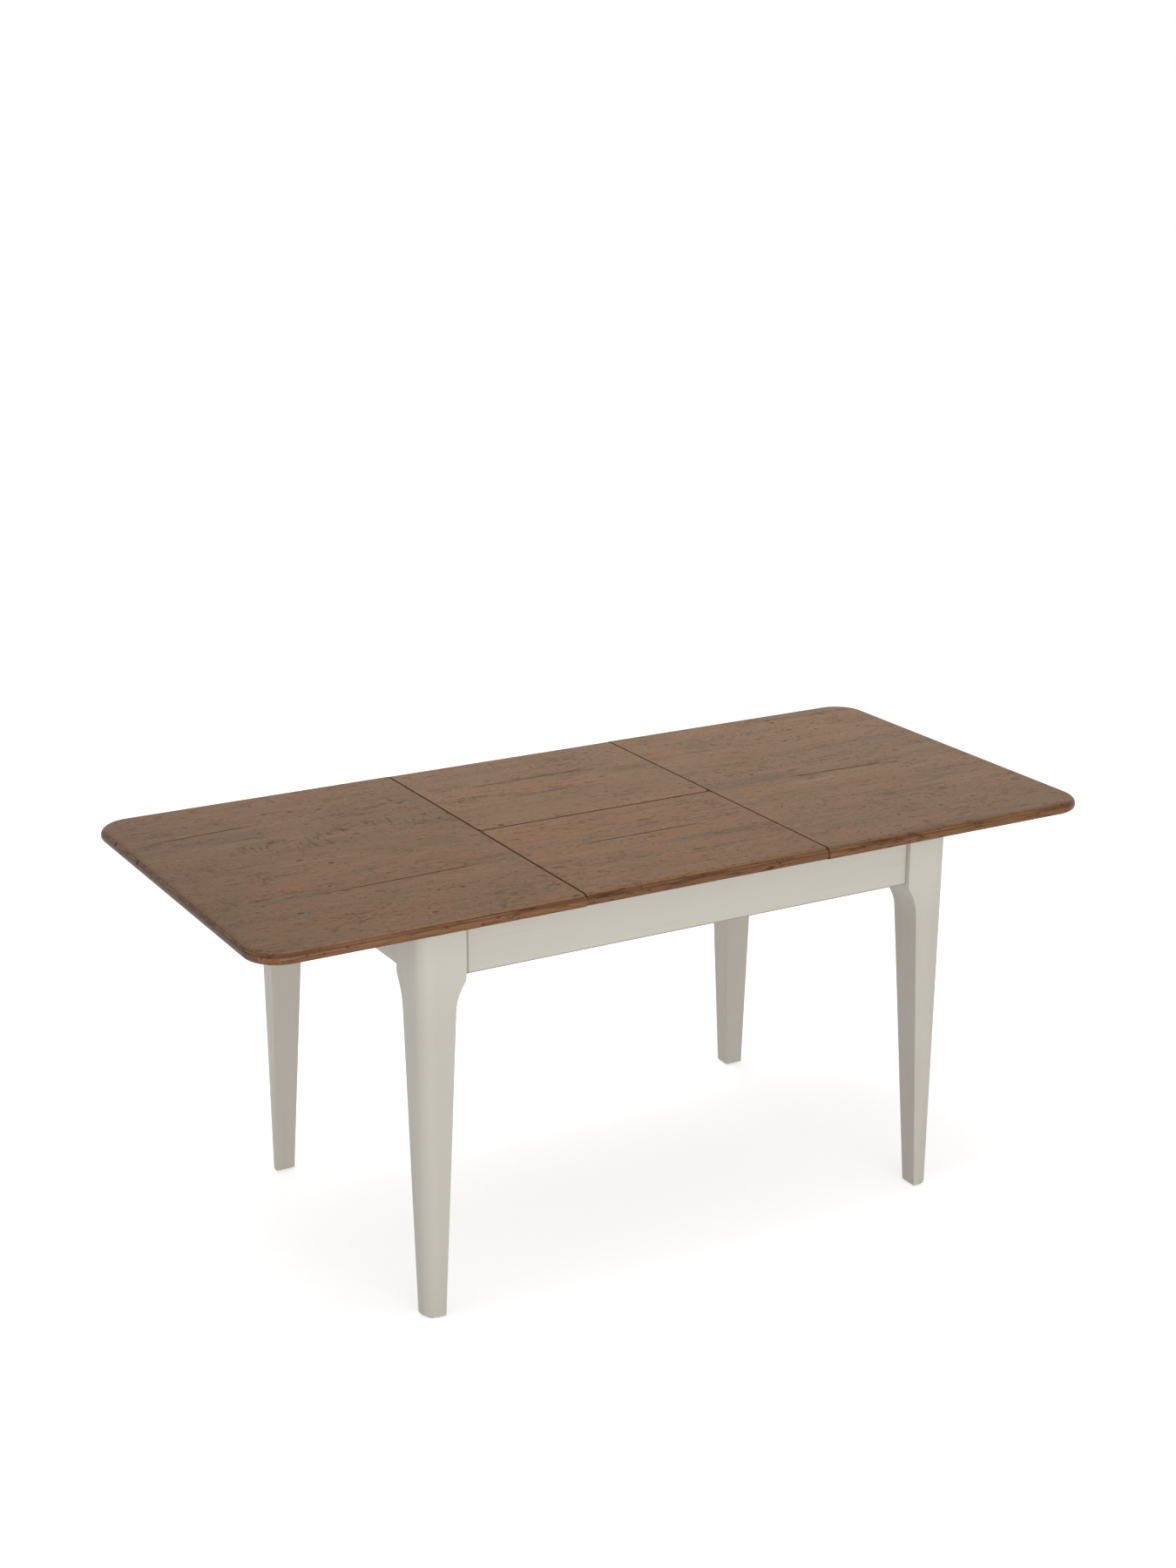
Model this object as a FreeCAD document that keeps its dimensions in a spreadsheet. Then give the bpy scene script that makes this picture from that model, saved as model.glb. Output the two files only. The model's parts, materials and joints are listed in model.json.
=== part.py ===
import FreeCAD, Part
import math
import os
import Sketcher
from FreeCAD import Placement, Rotation, Vector

doc = FreeCAD.newDocument("ButterflyLeafTable")

# Driving sizes in millimetres
SIZES = {
    "table_height": 750,
    "top_width": 800,
    "top_length": 600,
    "top_thickness": 22,
    "corner_radius": 65,
    "upper_round": 13,
    "lower_round": 8,
    "leaf_length": 497,
    "seam_gap": 1.5,
    "fold_gap": 1,
    "leaf_inset": 2,
    "leaf_clear": 0.5,
    "fold_round": 2,
    "open_travel": 25,
    "frame_length": 1100,
    "side_overhang": 40,
    "top_gap": 4,
    "leg_block": 90,
    "leg_neck": 70,
    "leg_foot": 37.5,
    "leg_splay": 6,
    "leg_round": 28,
    "block_drop": 24,
    "knee_round": 24,
    "cove_radius": 92,
    "edge_soften": 2,
    "glide_height": 3,
    "glide_radius": 12,
    "apron_height": 94,
    "apron_thickness": 20,
    "apron_setback": 12,
    "dowel_radius": 4,
    "dowel_length": 32,
    "dowel_edge": 24,
    "hole_clear": 0.1,
    "block_height": 42,
    "block_thickness": 28,
    "block_rise": 4,
    "leg_chamfer": 28,
    "bolt_radius": 4,
    "bolt_bite": 34,
    "bolt_spacing": 20,
    "washer_radius": 8.5,
    "washer_thickness": 1.6,
    "nut_flats": 13,
    "nut_height": 6.5,
    "bolt_tail": 4,
    "screw_radius": 2.2,
    "screw_head_radius": 4.4,
    "screw_head_height": 3,
    "screw_bite": 12,
    "bearer_thickness": 22,
    "bearer_height": 40,
    "bearer_housing": 6,
    "rail_height": 44,
    "rail_thickness": 22,
    "runner_height": 44,
    "runner_thickness": 19,
    "runner_tail": 60,
    "runner_stop": 1,
    "screw_cover": 8,
    "slide_gap": 0.5,
    "leg_clear": 5,
    "tongue_height": 10,
    "tongue_depth": 6,
    "tongue_clear": 0.3,
    "rail_screw_seat": 12,
    "pivot_drop": 14,
    "pivot_radius": 5,
    "pivot_clear": 0.06,
    "pivot_seat": 0.02,
    "pivot_head_radius": 8,
    "pivot_head_height": 3.5,
    "pivot_tail": 1.5,
    "pivot_plate_width": 50,
    "plate_thickness": 4,
    "plate_gap": 4.5,
    "plate_rise": 4,
    "plate_screw_edge": 10,
    "bracket_thickness": 3,
    "bracket_length": 40,
    "bracket_width": 36,
    "bracket_inset": 2,
    "bracket_wall": 4,
    "spacer_play": 0.3,
    "clip_thickness": 2.5,
    "ledge_depth": 22,
    "ledge_width": 60,
    "ledge_height": 15,
    "stow_clear": 1,
    "hinge_reach": 3,
    "hinge_rise": 0.3,
    "hinge_lug_radius": 2.4,
    "hinge_pin_radius": 1.25,
    "hinge_length": 40,
    "hinge_top": 5.5,
    "hinge_bottom": 14.5,
    "hinge_layer": 2,
    "hinge_clear": 0.2,
    "hinge_screw_radius": 1.5,
    "hinge_head_radius": 3.5,
    "link_play": 0.1,
}

sheet = doc.addObject("Spreadsheet::Sheet", "Sizes")
for row, (alias, value) in enumerate(SIZES.items(), start=1):
    sheet.set("A%d" % row, alias.replace("_", " "))
    sheet.set("B%d" % row, str(value))
    sheet.setAlias("B%d" % row, alias)
doc.recompute()


def size(name):
    return "Sizes." + name


def number(expression):
    value = sheet.evalExpression(str(expression))
    return float(getattr(value, "Value", value))


def signed(sign, expression):
    return "%d * (%s)" % (sign, expression)


# Levels and stations worked out from the driving sizes
TOP = size("table_height")
UNDER = "(Sizes.table_height - Sizes.top_thickness)"
FRAME_TOP = "(%s - Sizes.top_gap)" % UNDER
APRON_LOW = "(%s - Sizes.apron_height)" % FRAME_TOP
HALF_LENGTH = "(Sizes.frame_length / 2)"
HALF_WIDTH = "(Sizes.top_width / 2 - Sizes.side_overhang)"
APRON_OUT_X = "(%s - Sizes.apron_setback)" % HALF_LENGTH
APRON_OUT_Y = "(%s - Sizes.apron_setback)" % HALF_WIDTH
APRON_IN_X = "(%s - Sizes.apron_thickness)" % APRON_OUT_X
APRON_IN_Y = "(%s - Sizes.apron_thickness)" % APRON_OUT_Y
LEAF_END = "(Sizes.leaf_length / 2)"
SEAM = "(%s + Sizes.seam_gap)" % LEAF_END
LEAF_UNDER = "(%s + Sizes.leaf_clear)" % UNDER
FOLD_EDGE = "(Sizes.fold_gap / 2)"
RAIL_LOW = "(%s - Sizes.rail_height)" % FRAME_TOP
BEARER_IN = "(%s + Sizes.plate_gap + Sizes.plate_thickness)" % LEAF_END
BEARER_LOW = "(%s - Sizes.bearer_height)" % RAIL_LOW
BEARER_MID = "(%s + Sizes.bearer_thickness / 2)" % BEARER_IN
OUTER_FAR = "(%s - Sizes.leg_block - Sizes.leg_clear)" % HALF_WIDTH
OUTER_NEAR = "(%s - Sizes.runner_thickness)" % OUTER_FAR
RAIL_FAR = "(%s - Sizes.slide_gap)" % OUTER_NEAR
RAIL_NEAR = "(%s - Sizes.rail_thickness)" % RAIL_FAR
INNER_FAR = "(%s - Sizes.slide_gap)" % RAIL_NEAR
INNER_NEAR = "(%s - Sizes.runner_thickness)" % INNER_FAR
TONGUE_MID = "(%s - Sizes.rail_height / 2)" % FRAME_TOP
RUNNER_IN = "(%s - Sizes.runner_tail)" % SEAM
RUNNER_OUT = "(%s - Sizes.open_travel - Sizes.runner_stop)" % APRON_IN_X
RUNNER_LOW = "(%s - Sizes.runner_height)" % UNDER
PIVOT_Y = "(Sizes.top_width / 8)"
PIVOT_Z = "(%s - Sizes.pivot_drop)" % UNDER
PLATE_IN = "(%s + Sizes.plate_gap)" % LEAF_END
BLOCK_LOW = "(%s + Sizes.block_rise)" % APRON_LOW
BLOCK_MID = "(%s + Sizes.block_height / 2)" % BLOCK_LOW
APRON_INNER = "(Sizes.apron_setback + Sizes.apron_thickness)"
CHAMFER_SUM = "(2 * Sizes.leg_block - Sizes.leg_chamfer)"
BLOCK_SUM = "(%s + Sizes.block_thickness * sqrt(2))" % CHAMFER_SUM
BLOCK_SCREW = "((%s + %s) / 2 - %s)" % (CHAMFER_SUM, BLOCK_SUM, APRON_INNER)
SCREW_HOLE = "(Sizes.screw_radius + Sizes.hole_clear)"
HEAD_HOLE = "(Sizes.screw_head_radius + Sizes.hole_clear)"
BOLT_HOLE = "(Sizes.bolt_radius + Sizes.hole_clear)"
DOWEL_HOLE = "(Sizes.dowel_radius + Sizes.hole_clear)"
DOWEL_DEPTH = "(Sizes.dowel_length / 2 + Sizes.hole_clear)"
DOWEL_LEVELS = [
    "(%s + Sizes.dowel_edge)" % APRON_LOW,
    "(%s - Sizes.dowel_edge)" % FRAME_TOP,
]
DOWEL_INSET = "(Sizes.apron_setback + Sizes.apron_thickness / 2)"
BOLT_LEVELS = [
    "(%s - Sizes.bolt_spacing / 2)" % BLOCK_MID,
    "(%s + Sizes.bolt_spacing / 2)" % BLOCK_MID,
]
LEG_LOW = size("glide_height")
BLOCK_BOTTOM = "(%s - Sizes.block_drop)" % APRON_LOW
OUTWARD = {"left": -1, "right": 1}
DEPTHWARD = {"front": -1, "rear": 1}

nodes = []


def new_body(label, export=True):
    body = doc.addObject("PartDesign::Body", label)
    body.Label = label
    if export:
        nodes.append(body)
    return body


def sketch_on(body, plane, name, offset="0"):
    role = {"xy": "XY_Plane", "xz": "XZ_Plane", "yz": "YZ_Plane"}[plane]
    sketch = body.newObject("Sketcher::SketchObject", name)
    support = next(item for item in body.Origin.OriginFeatures if item.Role == role)
    sketch.AttachmentSupport = [(support, "")]
    sketch.MapMode = "FlatFace"
    # The xz plane faces -Y, so its offset is turned round to read along +Y
    sketch.setExpression("AttachmentOffset.Base.z", signed(-1 if plane == "xz" else 1, offset))
    return sketch


def bind(sketch, kind, where, expression):
    constraint = Sketcher.Constraint(kind, *where, number(expression))
    index = sketch.addConstraint(constraint)
    sketch.setExpression("Constraints[%d]" % index, expression)


def fix_point(sketch, item, position, across, upward):
    bind(sketch, "DistanceX", (-1, 1, item, position), across)
    bind(sketch, "DistanceY", (-1, 1, item, position), upward)


def outline(sketch, corners):
    first = sketch.GeometryCount
    count = len(corners)
    spots = [Vector(number(across), number(upward), 0) for across, upward in corners]
    for index in range(count):
        sketch.addGeometry(Part.LineSegment(spots[index], spots[(index + 1) % count]), False)
    for index in range(count):
        following = first + (index + 1) % count
        sketch.addConstraint(Sketcher.Constraint("Coincident", first + index, 2, following, 1))
    for index, (across, upward) in enumerate(corners):
        fix_point(sketch, first + index, 1, across, upward)


def rectangle(sketch, left, low, right, high):
    outline(sketch, [(left, low), (right, low), (right, high), (left, high)])


def circles(sketch, spots, radius):
    for across, upward in spots:
        centre = Vector(number(across), number(upward), 0)
        ring = Part.Circle(centre, Vector(0, 0, 1), number(radius))
        item = sketch.addGeometry(ring, False)
        bind(sketch, "Radius", (item,), radius)
        fix_point(sketch, item, 3, across, upward)


def pad(body, sketch, length, reverse=False):
    feature = body.newObject("PartDesign::Pad", sketch.Name + "Pad")
    feature.Profile = sketch
    feature.Reversed = reverse
    feature.setExpression("Length", length)
    return feature


def pocket(body, sketch, depth=None, reverse=False):
    feature = body.newObject("PartDesign::Pocket", sketch.Name + "Pocket")
    feature.Profile = sketch
    feature.Reversed = reverse
    if depth is None:
        feature.SideType = "Symmetric"
        feature.Type = "ThroughAll"
    else:
        feature.setExpression("Length", depth)
    return feature


def drill(body, plane, name, offset, spots, radius, depth, reverse=False):
    sketch = sketch_on(body, plane, name, offset)
    circles(sketch, spots, radius)
    return pocket(body, sketch, depth, reverse)


def round_edges(body, base, name, radius, wanted):
    doc.recompute()
    names = []
    for index, edge in enumerate(base.Shape.Edges, start=1):
        if wanted(edge):
            names.append("Edge%d" % index)
    feature = body.newObject("PartDesign::Fillet", name)
    feature.Base = (base, names)
    feature.setExpression("Radius", radius)
    doc.recompute()
    return feature


def near(first, second):
    return abs(first - second) < 0.01


def on_level(edge, level):
    return near(edge.BoundBox.ZMin, level) and near(edge.BoundBox.ZMax, level)


def place(item, across="0", depth="0", upward="0", turn=None):
    if turn is not None:
        item.Placement = Placement(Vector(), turn)
    for axis, expression in zip("xyz", (across, depth, upward)):
        item.setExpression("Placement.Base." + axis, expression)


def turned(angle, axis=(0, 0, 1)):
    return Rotation(Vector(*axis), angle)


def group(label, master, spots):
    copies = []
    for index, (across, depth, upward, turn) in enumerate(spots):
        copy = doc.addObject("App::Link", "%s_%d" % (label, index))
        copy.LinkedObject = master
        place(copy, across, depth, upward, turn)
        copies.append(copy)
    bundle = doc.addObject("Part::Compound", label)
    bundle.Label = label
    bundle.Links = copies
    nodes.append(bundle)
    return bundle


def ring(label, inner, outer, thickness, export=False):
    body = new_body(label, export)
    sketch = sketch_on(body, "yz", label + "Face")
    circles(sketch, [("0", "0")], outer)
    circles(sketch, [("0", "0")], inner)
    pad(body, sketch, thickness)
    return body


def shaft(label, stages):
    # Stages of one turned piece along +X, each as start, end and radius
    body = new_body(label, False)
    for index, (start, end, radius) in enumerate(stages):
        sketch = sketch_on(body, "yz", "%sStage%d" % (label, index), start)
        circles(sketch, [("0", "0")], radius)
        pad(body, sketch, "%s - (%s)" % (end, start))
    return body


# Legs, worked out from the outer corner with the inside towards +X and +Y
CORNERS = {
    "front_left": (-1, -1),
    "front_right": (1, -1),
    "rear_right": (1, 1),
    "rear_left": (-1, 1),
}


def corner_turn(corner):
    # Quarter turns from the front left corner, anticlockwise from above
    return list(CORNERS).index(corner)


def cove_start():
    foot = Vector(number("Sizes.leg_splay + Sizes.leg_foot"), number(LEG_LOW), 0)
    knee, cove = number("Sizes.knee_round"), number("Sizes.cove_radius")
    neck = number("Sizes.leg_neck")
    upper = Vector(number("Sizes.leg_block") - knee, number(BLOCK_BOTTOM) + knee, 0)
    low, high = number(LEG_LOW), number(BLOCK_BOTTOM) + knee
    for attempt in range(60):
        level = (low + high) / 2
        tangent = Vector(neck, level, 0) - foot
        tangent.normalize()
        centre = Vector(neck, level, 0) + Vector(tangent.y, -tangent.x, 0) * cove
        if (centre - upper).Length > knee + cove:
            low = level
        else:
            high = level
    return foot, upper, centre, Vector(neck, level, 0)


def shaped_side(sketch):
    # Knee, cove and taper of the inner side, returned as the three curves
    foot, upper, centre, start = cove_start()
    knee, cove = number("Sizes.knee_round"), number("Sizes.cove_radius")
    axis = Vector(0, 0, 1)
    towards = centre - upper
    touch = math.atan2(towards.y, towards.x)
    leave = math.atan2(start.y - centre.y, start.x - centre.x) % (2 * math.pi)
    knee_arc = Part.ArcOfCircle(Part.Circle(upper, axis, knee), touch, 0)
    cove_arc = Part.ArcOfCircle(Part.Circle(centre, axis, cove), touch + math.pi, leave)
    curve = sketch.addGeometry(knee_arc, False)
    hollow = sketch.addGeometry(cove_arc, False)
    taper = sketch.addGeometry(Part.LineSegment(start, foot), False)
    sketch.addConstraint(Sketcher.Constraint("Tangent", curve, 1, hollow, 1))
    sketch.addConstraint(Sketcher.Constraint("Tangent", hollow, 2, taper, 1))
    bind(sketch, "Radius", (curve,), "Sizes.knee_round")
    bind(sketch, "Radius", (hollow,), "Sizes.cove_radius")
    bind(sketch, "DistanceX", (-1, 1, hollow, 2), "Sizes.leg_neck")
    bind(sketch, "DistanceY", (-1, 1, curve, 2), BLOCK_BOTTOM + " + Sizes.knee_round")
    fix_point(sketch, curve, 3, "Sizes.leg_block - Sizes.knee_round",
              BLOCK_BOTTOM + " + Sizes.knee_round")
    fix_point(sketch, taper, 2, "Sizes.leg_splay + Sizes.leg_foot", LEG_LOW)
    return curve, hollow, taper


def close_side(sketch, curve, taper, corners):
    # Straight lines from the foot of the taper round to the top of the knee
    count = len(corners)
    spots = [Vector(number(across), number(upward), 0) for across, upward in corners]
    foot = sketch.getPoint(taper, 2)
    crown = sketch.getPoint(curve, 2)
    chain = [foot] + spots + [crown]
    first = sketch.GeometryCount
    for start, end in zip(chain, chain[1:]):
        sketch.addGeometry(Part.LineSegment(start, end), False)
    sketch.addConstraint(Sketcher.Constraint("Coincident", taper, 2, first, 1))
    for index in range(count):
        item = first + index
        sketch.addConstraint(Sketcher.Constraint("Coincident", item, 2, item + 1, 1))
        fix_point(sketch, item, 2, *corners[index])
    sketch.addConstraint(Sketcher.Constraint("Coincident", first + count, 2, curve, 2))


def make_leg(corner, sign_x, sign_y):
    name = "leg_" + corner
    body = new_body(name)
    front = sketch_on(body, "xz", name + "_profile")
    curve, hollow, taper = shaped_side(front)
    close_side(front, curve, taper, [
        ("Sizes.leg_splay", LEG_LOW),
        ("0", FRAME_TOP),
        ("Sizes.leg_block", FRAME_TOP),
    ])
    pad(body, front, "Sizes.leg_block", reverse=True)
    side = sketch_on(body, "yz", name + "_waste")
    curve, hollow, taper = shaped_side(side)
    beyond = "Sizes.leg_block + 1"
    close_side(side, curve, taper, [
        (beyond, LEG_LOW),
        (beyond, BLOCK_BOTTOM + " + Sizes.knee_round"),
    ])
    outline(side, [
        ("-1", LEG_LOW),
        ("Sizes.leg_splay", LEG_LOW),
        ("0", FRAME_TOP),
        ("-1", FRAME_TOP),
    ])
    shaped = pocket(body, side)
    splay = number("Sizes.leg_splay")

    def outer_corner(edge):
        ends = [vertex.Point for vertex in edge.Vertexes]
        on_diagonal = all(near(end.x, end.y) and end.x < splay + 0.01 for end in ends)
        return len(ends) == 2 and on_diagonal

    rounded = round_edges(body, shaped, name + "_round", "Sizes.leg_round", outer_corner)

    def side_arris(edge):
        box = edge.BoundBox
        along_y = box.XMax < splay + 0.01 and box.YMin > splay + number("Sizes.leg_foot") - 0.01
        along_x = box.YMax < splay + 0.01 and box.XMin > splay + number("Sizes.leg_foot") - 0.01
        return (along_x or along_y) and not near(box.ZMin, box.ZMax)

    round_edges(body, rounded, name + "_soften", "Sizes.edge_soften", side_arris)
    seat = sketch_on(body, "xy", name + "_seat", FRAME_TOP)
    outline(seat, [
        (CHAMFER_SUM + " - Sizes.leg_block - 1", "Sizes.leg_block + 1"),
        ("Sizes.leg_block + 1", "Sizes.leg_block + 1"),
        ("Sizes.leg_block + 1", CHAMFER_SUM + " - Sizes.leg_block - 1"),
    ])
    pocket(body, seat, "Sizes.apron_height")
    levels = [(DOWEL_INSET, level) for level in DOWEL_LEVELS]
    drill(body, "yz", name + "_dowels_x", "Sizes.leg_block", levels, DOWEL_HOLE, DOWEL_DEPTH)
    drill(body, "xz", name + "_dowels_y", "Sizes.leg_block", levels, DOWEL_HOLE, DOWEL_DEPTH,
          reverse=True)
    bolts = slanted(body, name + "_bolts", CHAMFER_SUM)
    circles(bolts, [("0", level) for level in BOLT_LEVELS], BOLT_HOLE)
    pocket(body, bolts, "Sizes.bolt_bite + Sizes.hole_clear")
    place(body, signed(sign_x, HALF_LENGTH), signed(sign_y, HALF_WIDTH), "0",
          turned(90 * corner_turn(corner)))


def slanted(body, name, diagonal):
    # Plane square to the corner diagonal, where x + y is the given sum
    sketch = sketch_on(body, "xz", name, diagonal + " / 2")
    sketch.AttachmentOffset = Placement(Vector(), turned(135, (0, 1, 0)))
    sketch.setExpression("AttachmentOffset.Base.x", diagonal + " / 2")
    return sketch


def make_corner_block(corner, sign_x, sign_y):
    name = "corner_block_" + corner
    body = new_body(name)
    sketch = sketch_on(body, "xy", name + "_plan", BLOCK_LOW)
    outline(sketch, [
        ("%s - %s" % (CHAMFER_SUM, APRON_INNER), APRON_INNER),
        ("%s - %s" % (BLOCK_SUM, APRON_INNER), APRON_INNER),
        (APRON_INNER, "%s - %s" % (BLOCK_SUM, APRON_INNER)),
        (APRON_INNER, "%s - %s" % (CHAMFER_SUM, APRON_INNER)),
    ])
    pad(body, sketch, "Sizes.block_height")
    bolts = slanted(body, name + "_bolts", CHAMFER_SUM)
    circles(bolts, [("0", level) for level in BOLT_LEVELS], BOLT_HOLE)
    pocket(body, bolts)
    seat = APRON_INNER + " + Sizes.screw_bite"
    spot = [(BLOCK_SCREW, BLOCK_MID)]
    deep = "Sizes.leg_block"
    drill(body, "xz", name + "_pilot_y", APRON_INNER, spot, SCREW_HOLE, deep)
    drill(body, "xz", name + "_seat_y", seat, spot, HEAD_HOLE, deep)
    drill(body, "yz", name + "_pilot_x", APRON_INNER, spot, SCREW_HOLE, deep, True)
    drill(body, "yz", name + "_seat_x", seat, spot, HEAD_HOLE, deep, True)
    place(body, signed(sign_x, HALF_LENGTH), signed(sign_y, HALF_WIDTH), "0",
          turned(90 * corner_turn(corner)))


for corner, (sign_x, sign_y) in CORNERS.items():
    make_leg(corner, sign_x, sign_y)
    make_corner_block(corner, sign_x, sign_y)


# Aprons, drawn lengthways on X with the outer face on y = 0
def make_apron(name, half, across, depth, angle, bearers):
    body = new_body(name)
    sketch = sketch_on(body, "xy", name + "_plan", APRON_LOW)
    rectangle(sketch, signed(-1, half), "0", half, "Sizes.apron_thickness")
    board = pad(body, sketch, "Sizes.apron_height")
    low, thick = number(APRON_LOW), number("Sizes.apron_thickness")
    round_edges(body, board, name + "_soften", "Sizes.edge_soften",
                lambda edge: on_level(edge, low) and edge.BoundBox.XLength > thick)
    middle = "Sizes.apron_thickness / 2"
    levels = [(middle, level) for level in DOWEL_LEVELS]
    drill(body, "yz", name + "_dowels_left", signed(-1, half), levels, DOWEL_HOLE, DOWEL_DEPTH,
          reverse=True)
    drill(body, "yz", name + "_dowels_right", half, levels, DOWEL_HOLE, DOWEL_DEPTH)
    screw = "(%s + Sizes.leg_block - (%s))" % (half, BLOCK_SCREW)
    pilots = [(signed(-1, screw), BLOCK_MID), (screw, BLOCK_MID)]
    drill(body, "xz", name + "_pilots", "Sizes.apron_thickness", pilots, SCREW_HOLE,
          "Sizes.screw_bite + Sizes.hole_clear", reverse=True)
    if bearers:
        housing = sketch_on(body, "xz", name + "_housing", "Sizes.apron_thickness")
        far = "(%s + Sizes.bearer_thickness)" % BEARER_IN
        rectangle(housing, BEARER_IN, BEARER_LOW, far, RAIL_LOW)
        rectangle(housing, signed(-1, far), BEARER_LOW, signed(-1, BEARER_IN), RAIL_LOW)
        pocket(body, housing, "Sizes.bearer_housing", reverse=True)
    place(body, across, depth, "0", turned(angle))


SIDE_HALF = "(%s - Sizes.leg_block)" % HALF_LENGTH
END_HALF = "(%s - Sizes.leg_block)" % HALF_WIDTH
make_apron("apron_front", SIDE_HALF, "0", signed(-1, APRON_OUT_Y), 0, True)
make_apron("apron_rear", SIDE_HALF, "0", APRON_OUT_Y, 180, True)
make_apron("apron_left", END_HALF, signed(-1, APRON_OUT_X), "0", -90, False)
make_apron("apron_right", END_HALF, APRON_OUT_X, "0", 90, False)

# Fasteners that come in sets, each drawn once along +X
dowel = shaft("dowel", [("-Sizes.dowel_length / 2", "Sizes.dowel_length / 2", "Sizes.dowel_radius")])
bolt_length = "(Sizes.bolt_bite + Sizes.block_thickness + Sizes.washer_thickness" \
              " + Sizes.nut_height + Sizes.bolt_tail)"
bolt = shaft("hanger_bolt", [("-Sizes.bolt_bite", bolt_length + " - Sizes.bolt_bite",
                              "Sizes.bolt_radius")])
washer = ring("washer", BOLT_HOLE, "Sizes.washer_radius", "Sizes.washer_thickness")
nut = new_body("nut", False)
nut_face = sketch_on(nut, "yz", "nut_face")
flats, reach = "Sizes.nut_flats / 2", "Sizes.nut_flats / sqrt(3)"
outline(nut_face, [
    (flats, "-(%s) / 2" % reach), (flats, "%s / 2" % reach), ("0", reach),
    ("-(%s)" % flats, "%s / 2" % reach), ("-(%s)" % flats, "-(%s) / 2" % reach),
    ("0", "-(%s)" % reach),
])
circles(nut_face, [("0", "0")], BOLT_HOLE)
pad(nut, nut_face, "Sizes.nut_height")


def make_screw(label, length):
    # The underside of the head is on x = 0 and the shank runs along +X
    return shaft(label, [
        ("-Sizes.screw_head_height", "0", "Sizes.screw_head_radius"),
        ("0", length, "Sizes.screw_radius"),
    ])


block_screw = make_screw("block_screw", "2 * Sizes.screw_bite")
runner_bite = "(Sizes.top_thickness - Sizes.screw_cover)"
runner_seat = "(Sizes.runner_height - Sizes.rail_screw_seat)"
runner_screw = make_screw("runner_screw", "%s + %s" % (runner_seat, runner_bite))
rail_bite = "(Sizes.rail_height / 2 - Sizes.tongue_height / 2)"
rail_seat = "(Sizes.bearer_height - Sizes.rail_screw_seat)"
rail_screw = make_screw("rail_screw", "%s + %s" % (rail_seat, rail_bite))
plate_screw = make_screw("plate_screw", "Sizes.plate_thickness + Sizes.screw_bite")
ledge_screw = make_screw("ledge_screw", "Sizes.ledge_depth / 2 + Sizes.screw_bite")
bracket_screw = make_screw("bracket_screw", "Sizes.bracket_thickness + Sizes.screw_bite")
small_head = "(Sizes.hinge_layer / 2)"
hinge_screw = shaft("hinge_screw", [
    ("-(%s)" % small_head, "0", "Sizes.hinge_head_radius"),
    ("0", "Sizes.hinge_layer * 1.5 + Sizes.screw_bite", "Sizes.hinge_screw_radius"),
])


def around_corner(corner, near_x, near_y, level, turn_in):
    # A spot measured inwards from the outer corner of one leg
    sign_x, sign_y = CORNERS[corner]
    quarter = corner_turn(corner)
    steps = [(near_x, near_y), ("-(%s)" % near_y, near_x),
             ("-(%s)" % near_x, "-(%s)" % near_y), (near_y, "-(%s)" % near_x)]
    move_x, move_y = steps[quarter]
    across = "%s + (%s)" % (signed(sign_x, HALF_LENGTH), move_x)
    depth = "%s + (%s)" % (signed(sign_y, HALF_WIDTH), move_y)
    return across, depth, level, turned(90 * quarter + turn_in)


def on_diagonal(diagonal):
    spots = []
    for corner in CORNERS:
        for level in BOLT_LEVELS:
            half = "(%s) / 2" % diagonal
            spots.append(around_corner(corner, half, half, level, 45))
    return spots


step = "sqrt(2) * Sizes.washer_thickness"
group("leg_bolts", bolt, on_diagonal(CHAMFER_SUM))
group("leg_washers", washer, on_diagonal(BLOCK_SUM))
group("leg_nuts", nut, on_diagonal("%s + %s" % (BLOCK_SUM, step)))

dowel_spots = []
screw_spots = []
for corner in CORNERS:
    seat = "%s + Sizes.screw_bite" % APRON_INNER
    for level in DOWEL_LEVELS:
        dowel_spots.append(around_corner(corner, "Sizes.leg_block", DOWEL_INSET, level, 0))
        dowel_spots.append(around_corner(corner, DOWEL_INSET, "Sizes.leg_block", level, 90))
    screw_spots.append(around_corner(corner, BLOCK_SCREW, seat, BLOCK_MID, -90))
    screw_spots.append(around_corner(corner, seat, BLOCK_SCREW, BLOCK_MID, 180))
group("apron_dowels", dowel, dowel_spots)
group("block_screws", block_screw, screw_spots)

glide = new_body("glide", False)
glide_face = sketch_on(glide, "xy", "glide_face")
circles(glide_face, [("0", "0")], "Sizes.glide_radius")
glide_disc = pad(glide, glide_face, "Sizes.glide_height")
round_edges(glide, glide_disc, "glide_round", "Sizes.glide_height / 3",
            lambda edge: on_level(edge, 0))
foot_mid = "Sizes.leg_splay + Sizes.leg_foot / 2"
group("foot_glides", glide, [around_corner(corner, foot_mid, foot_mid, "0", 0) for corner in CORNERS])


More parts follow.
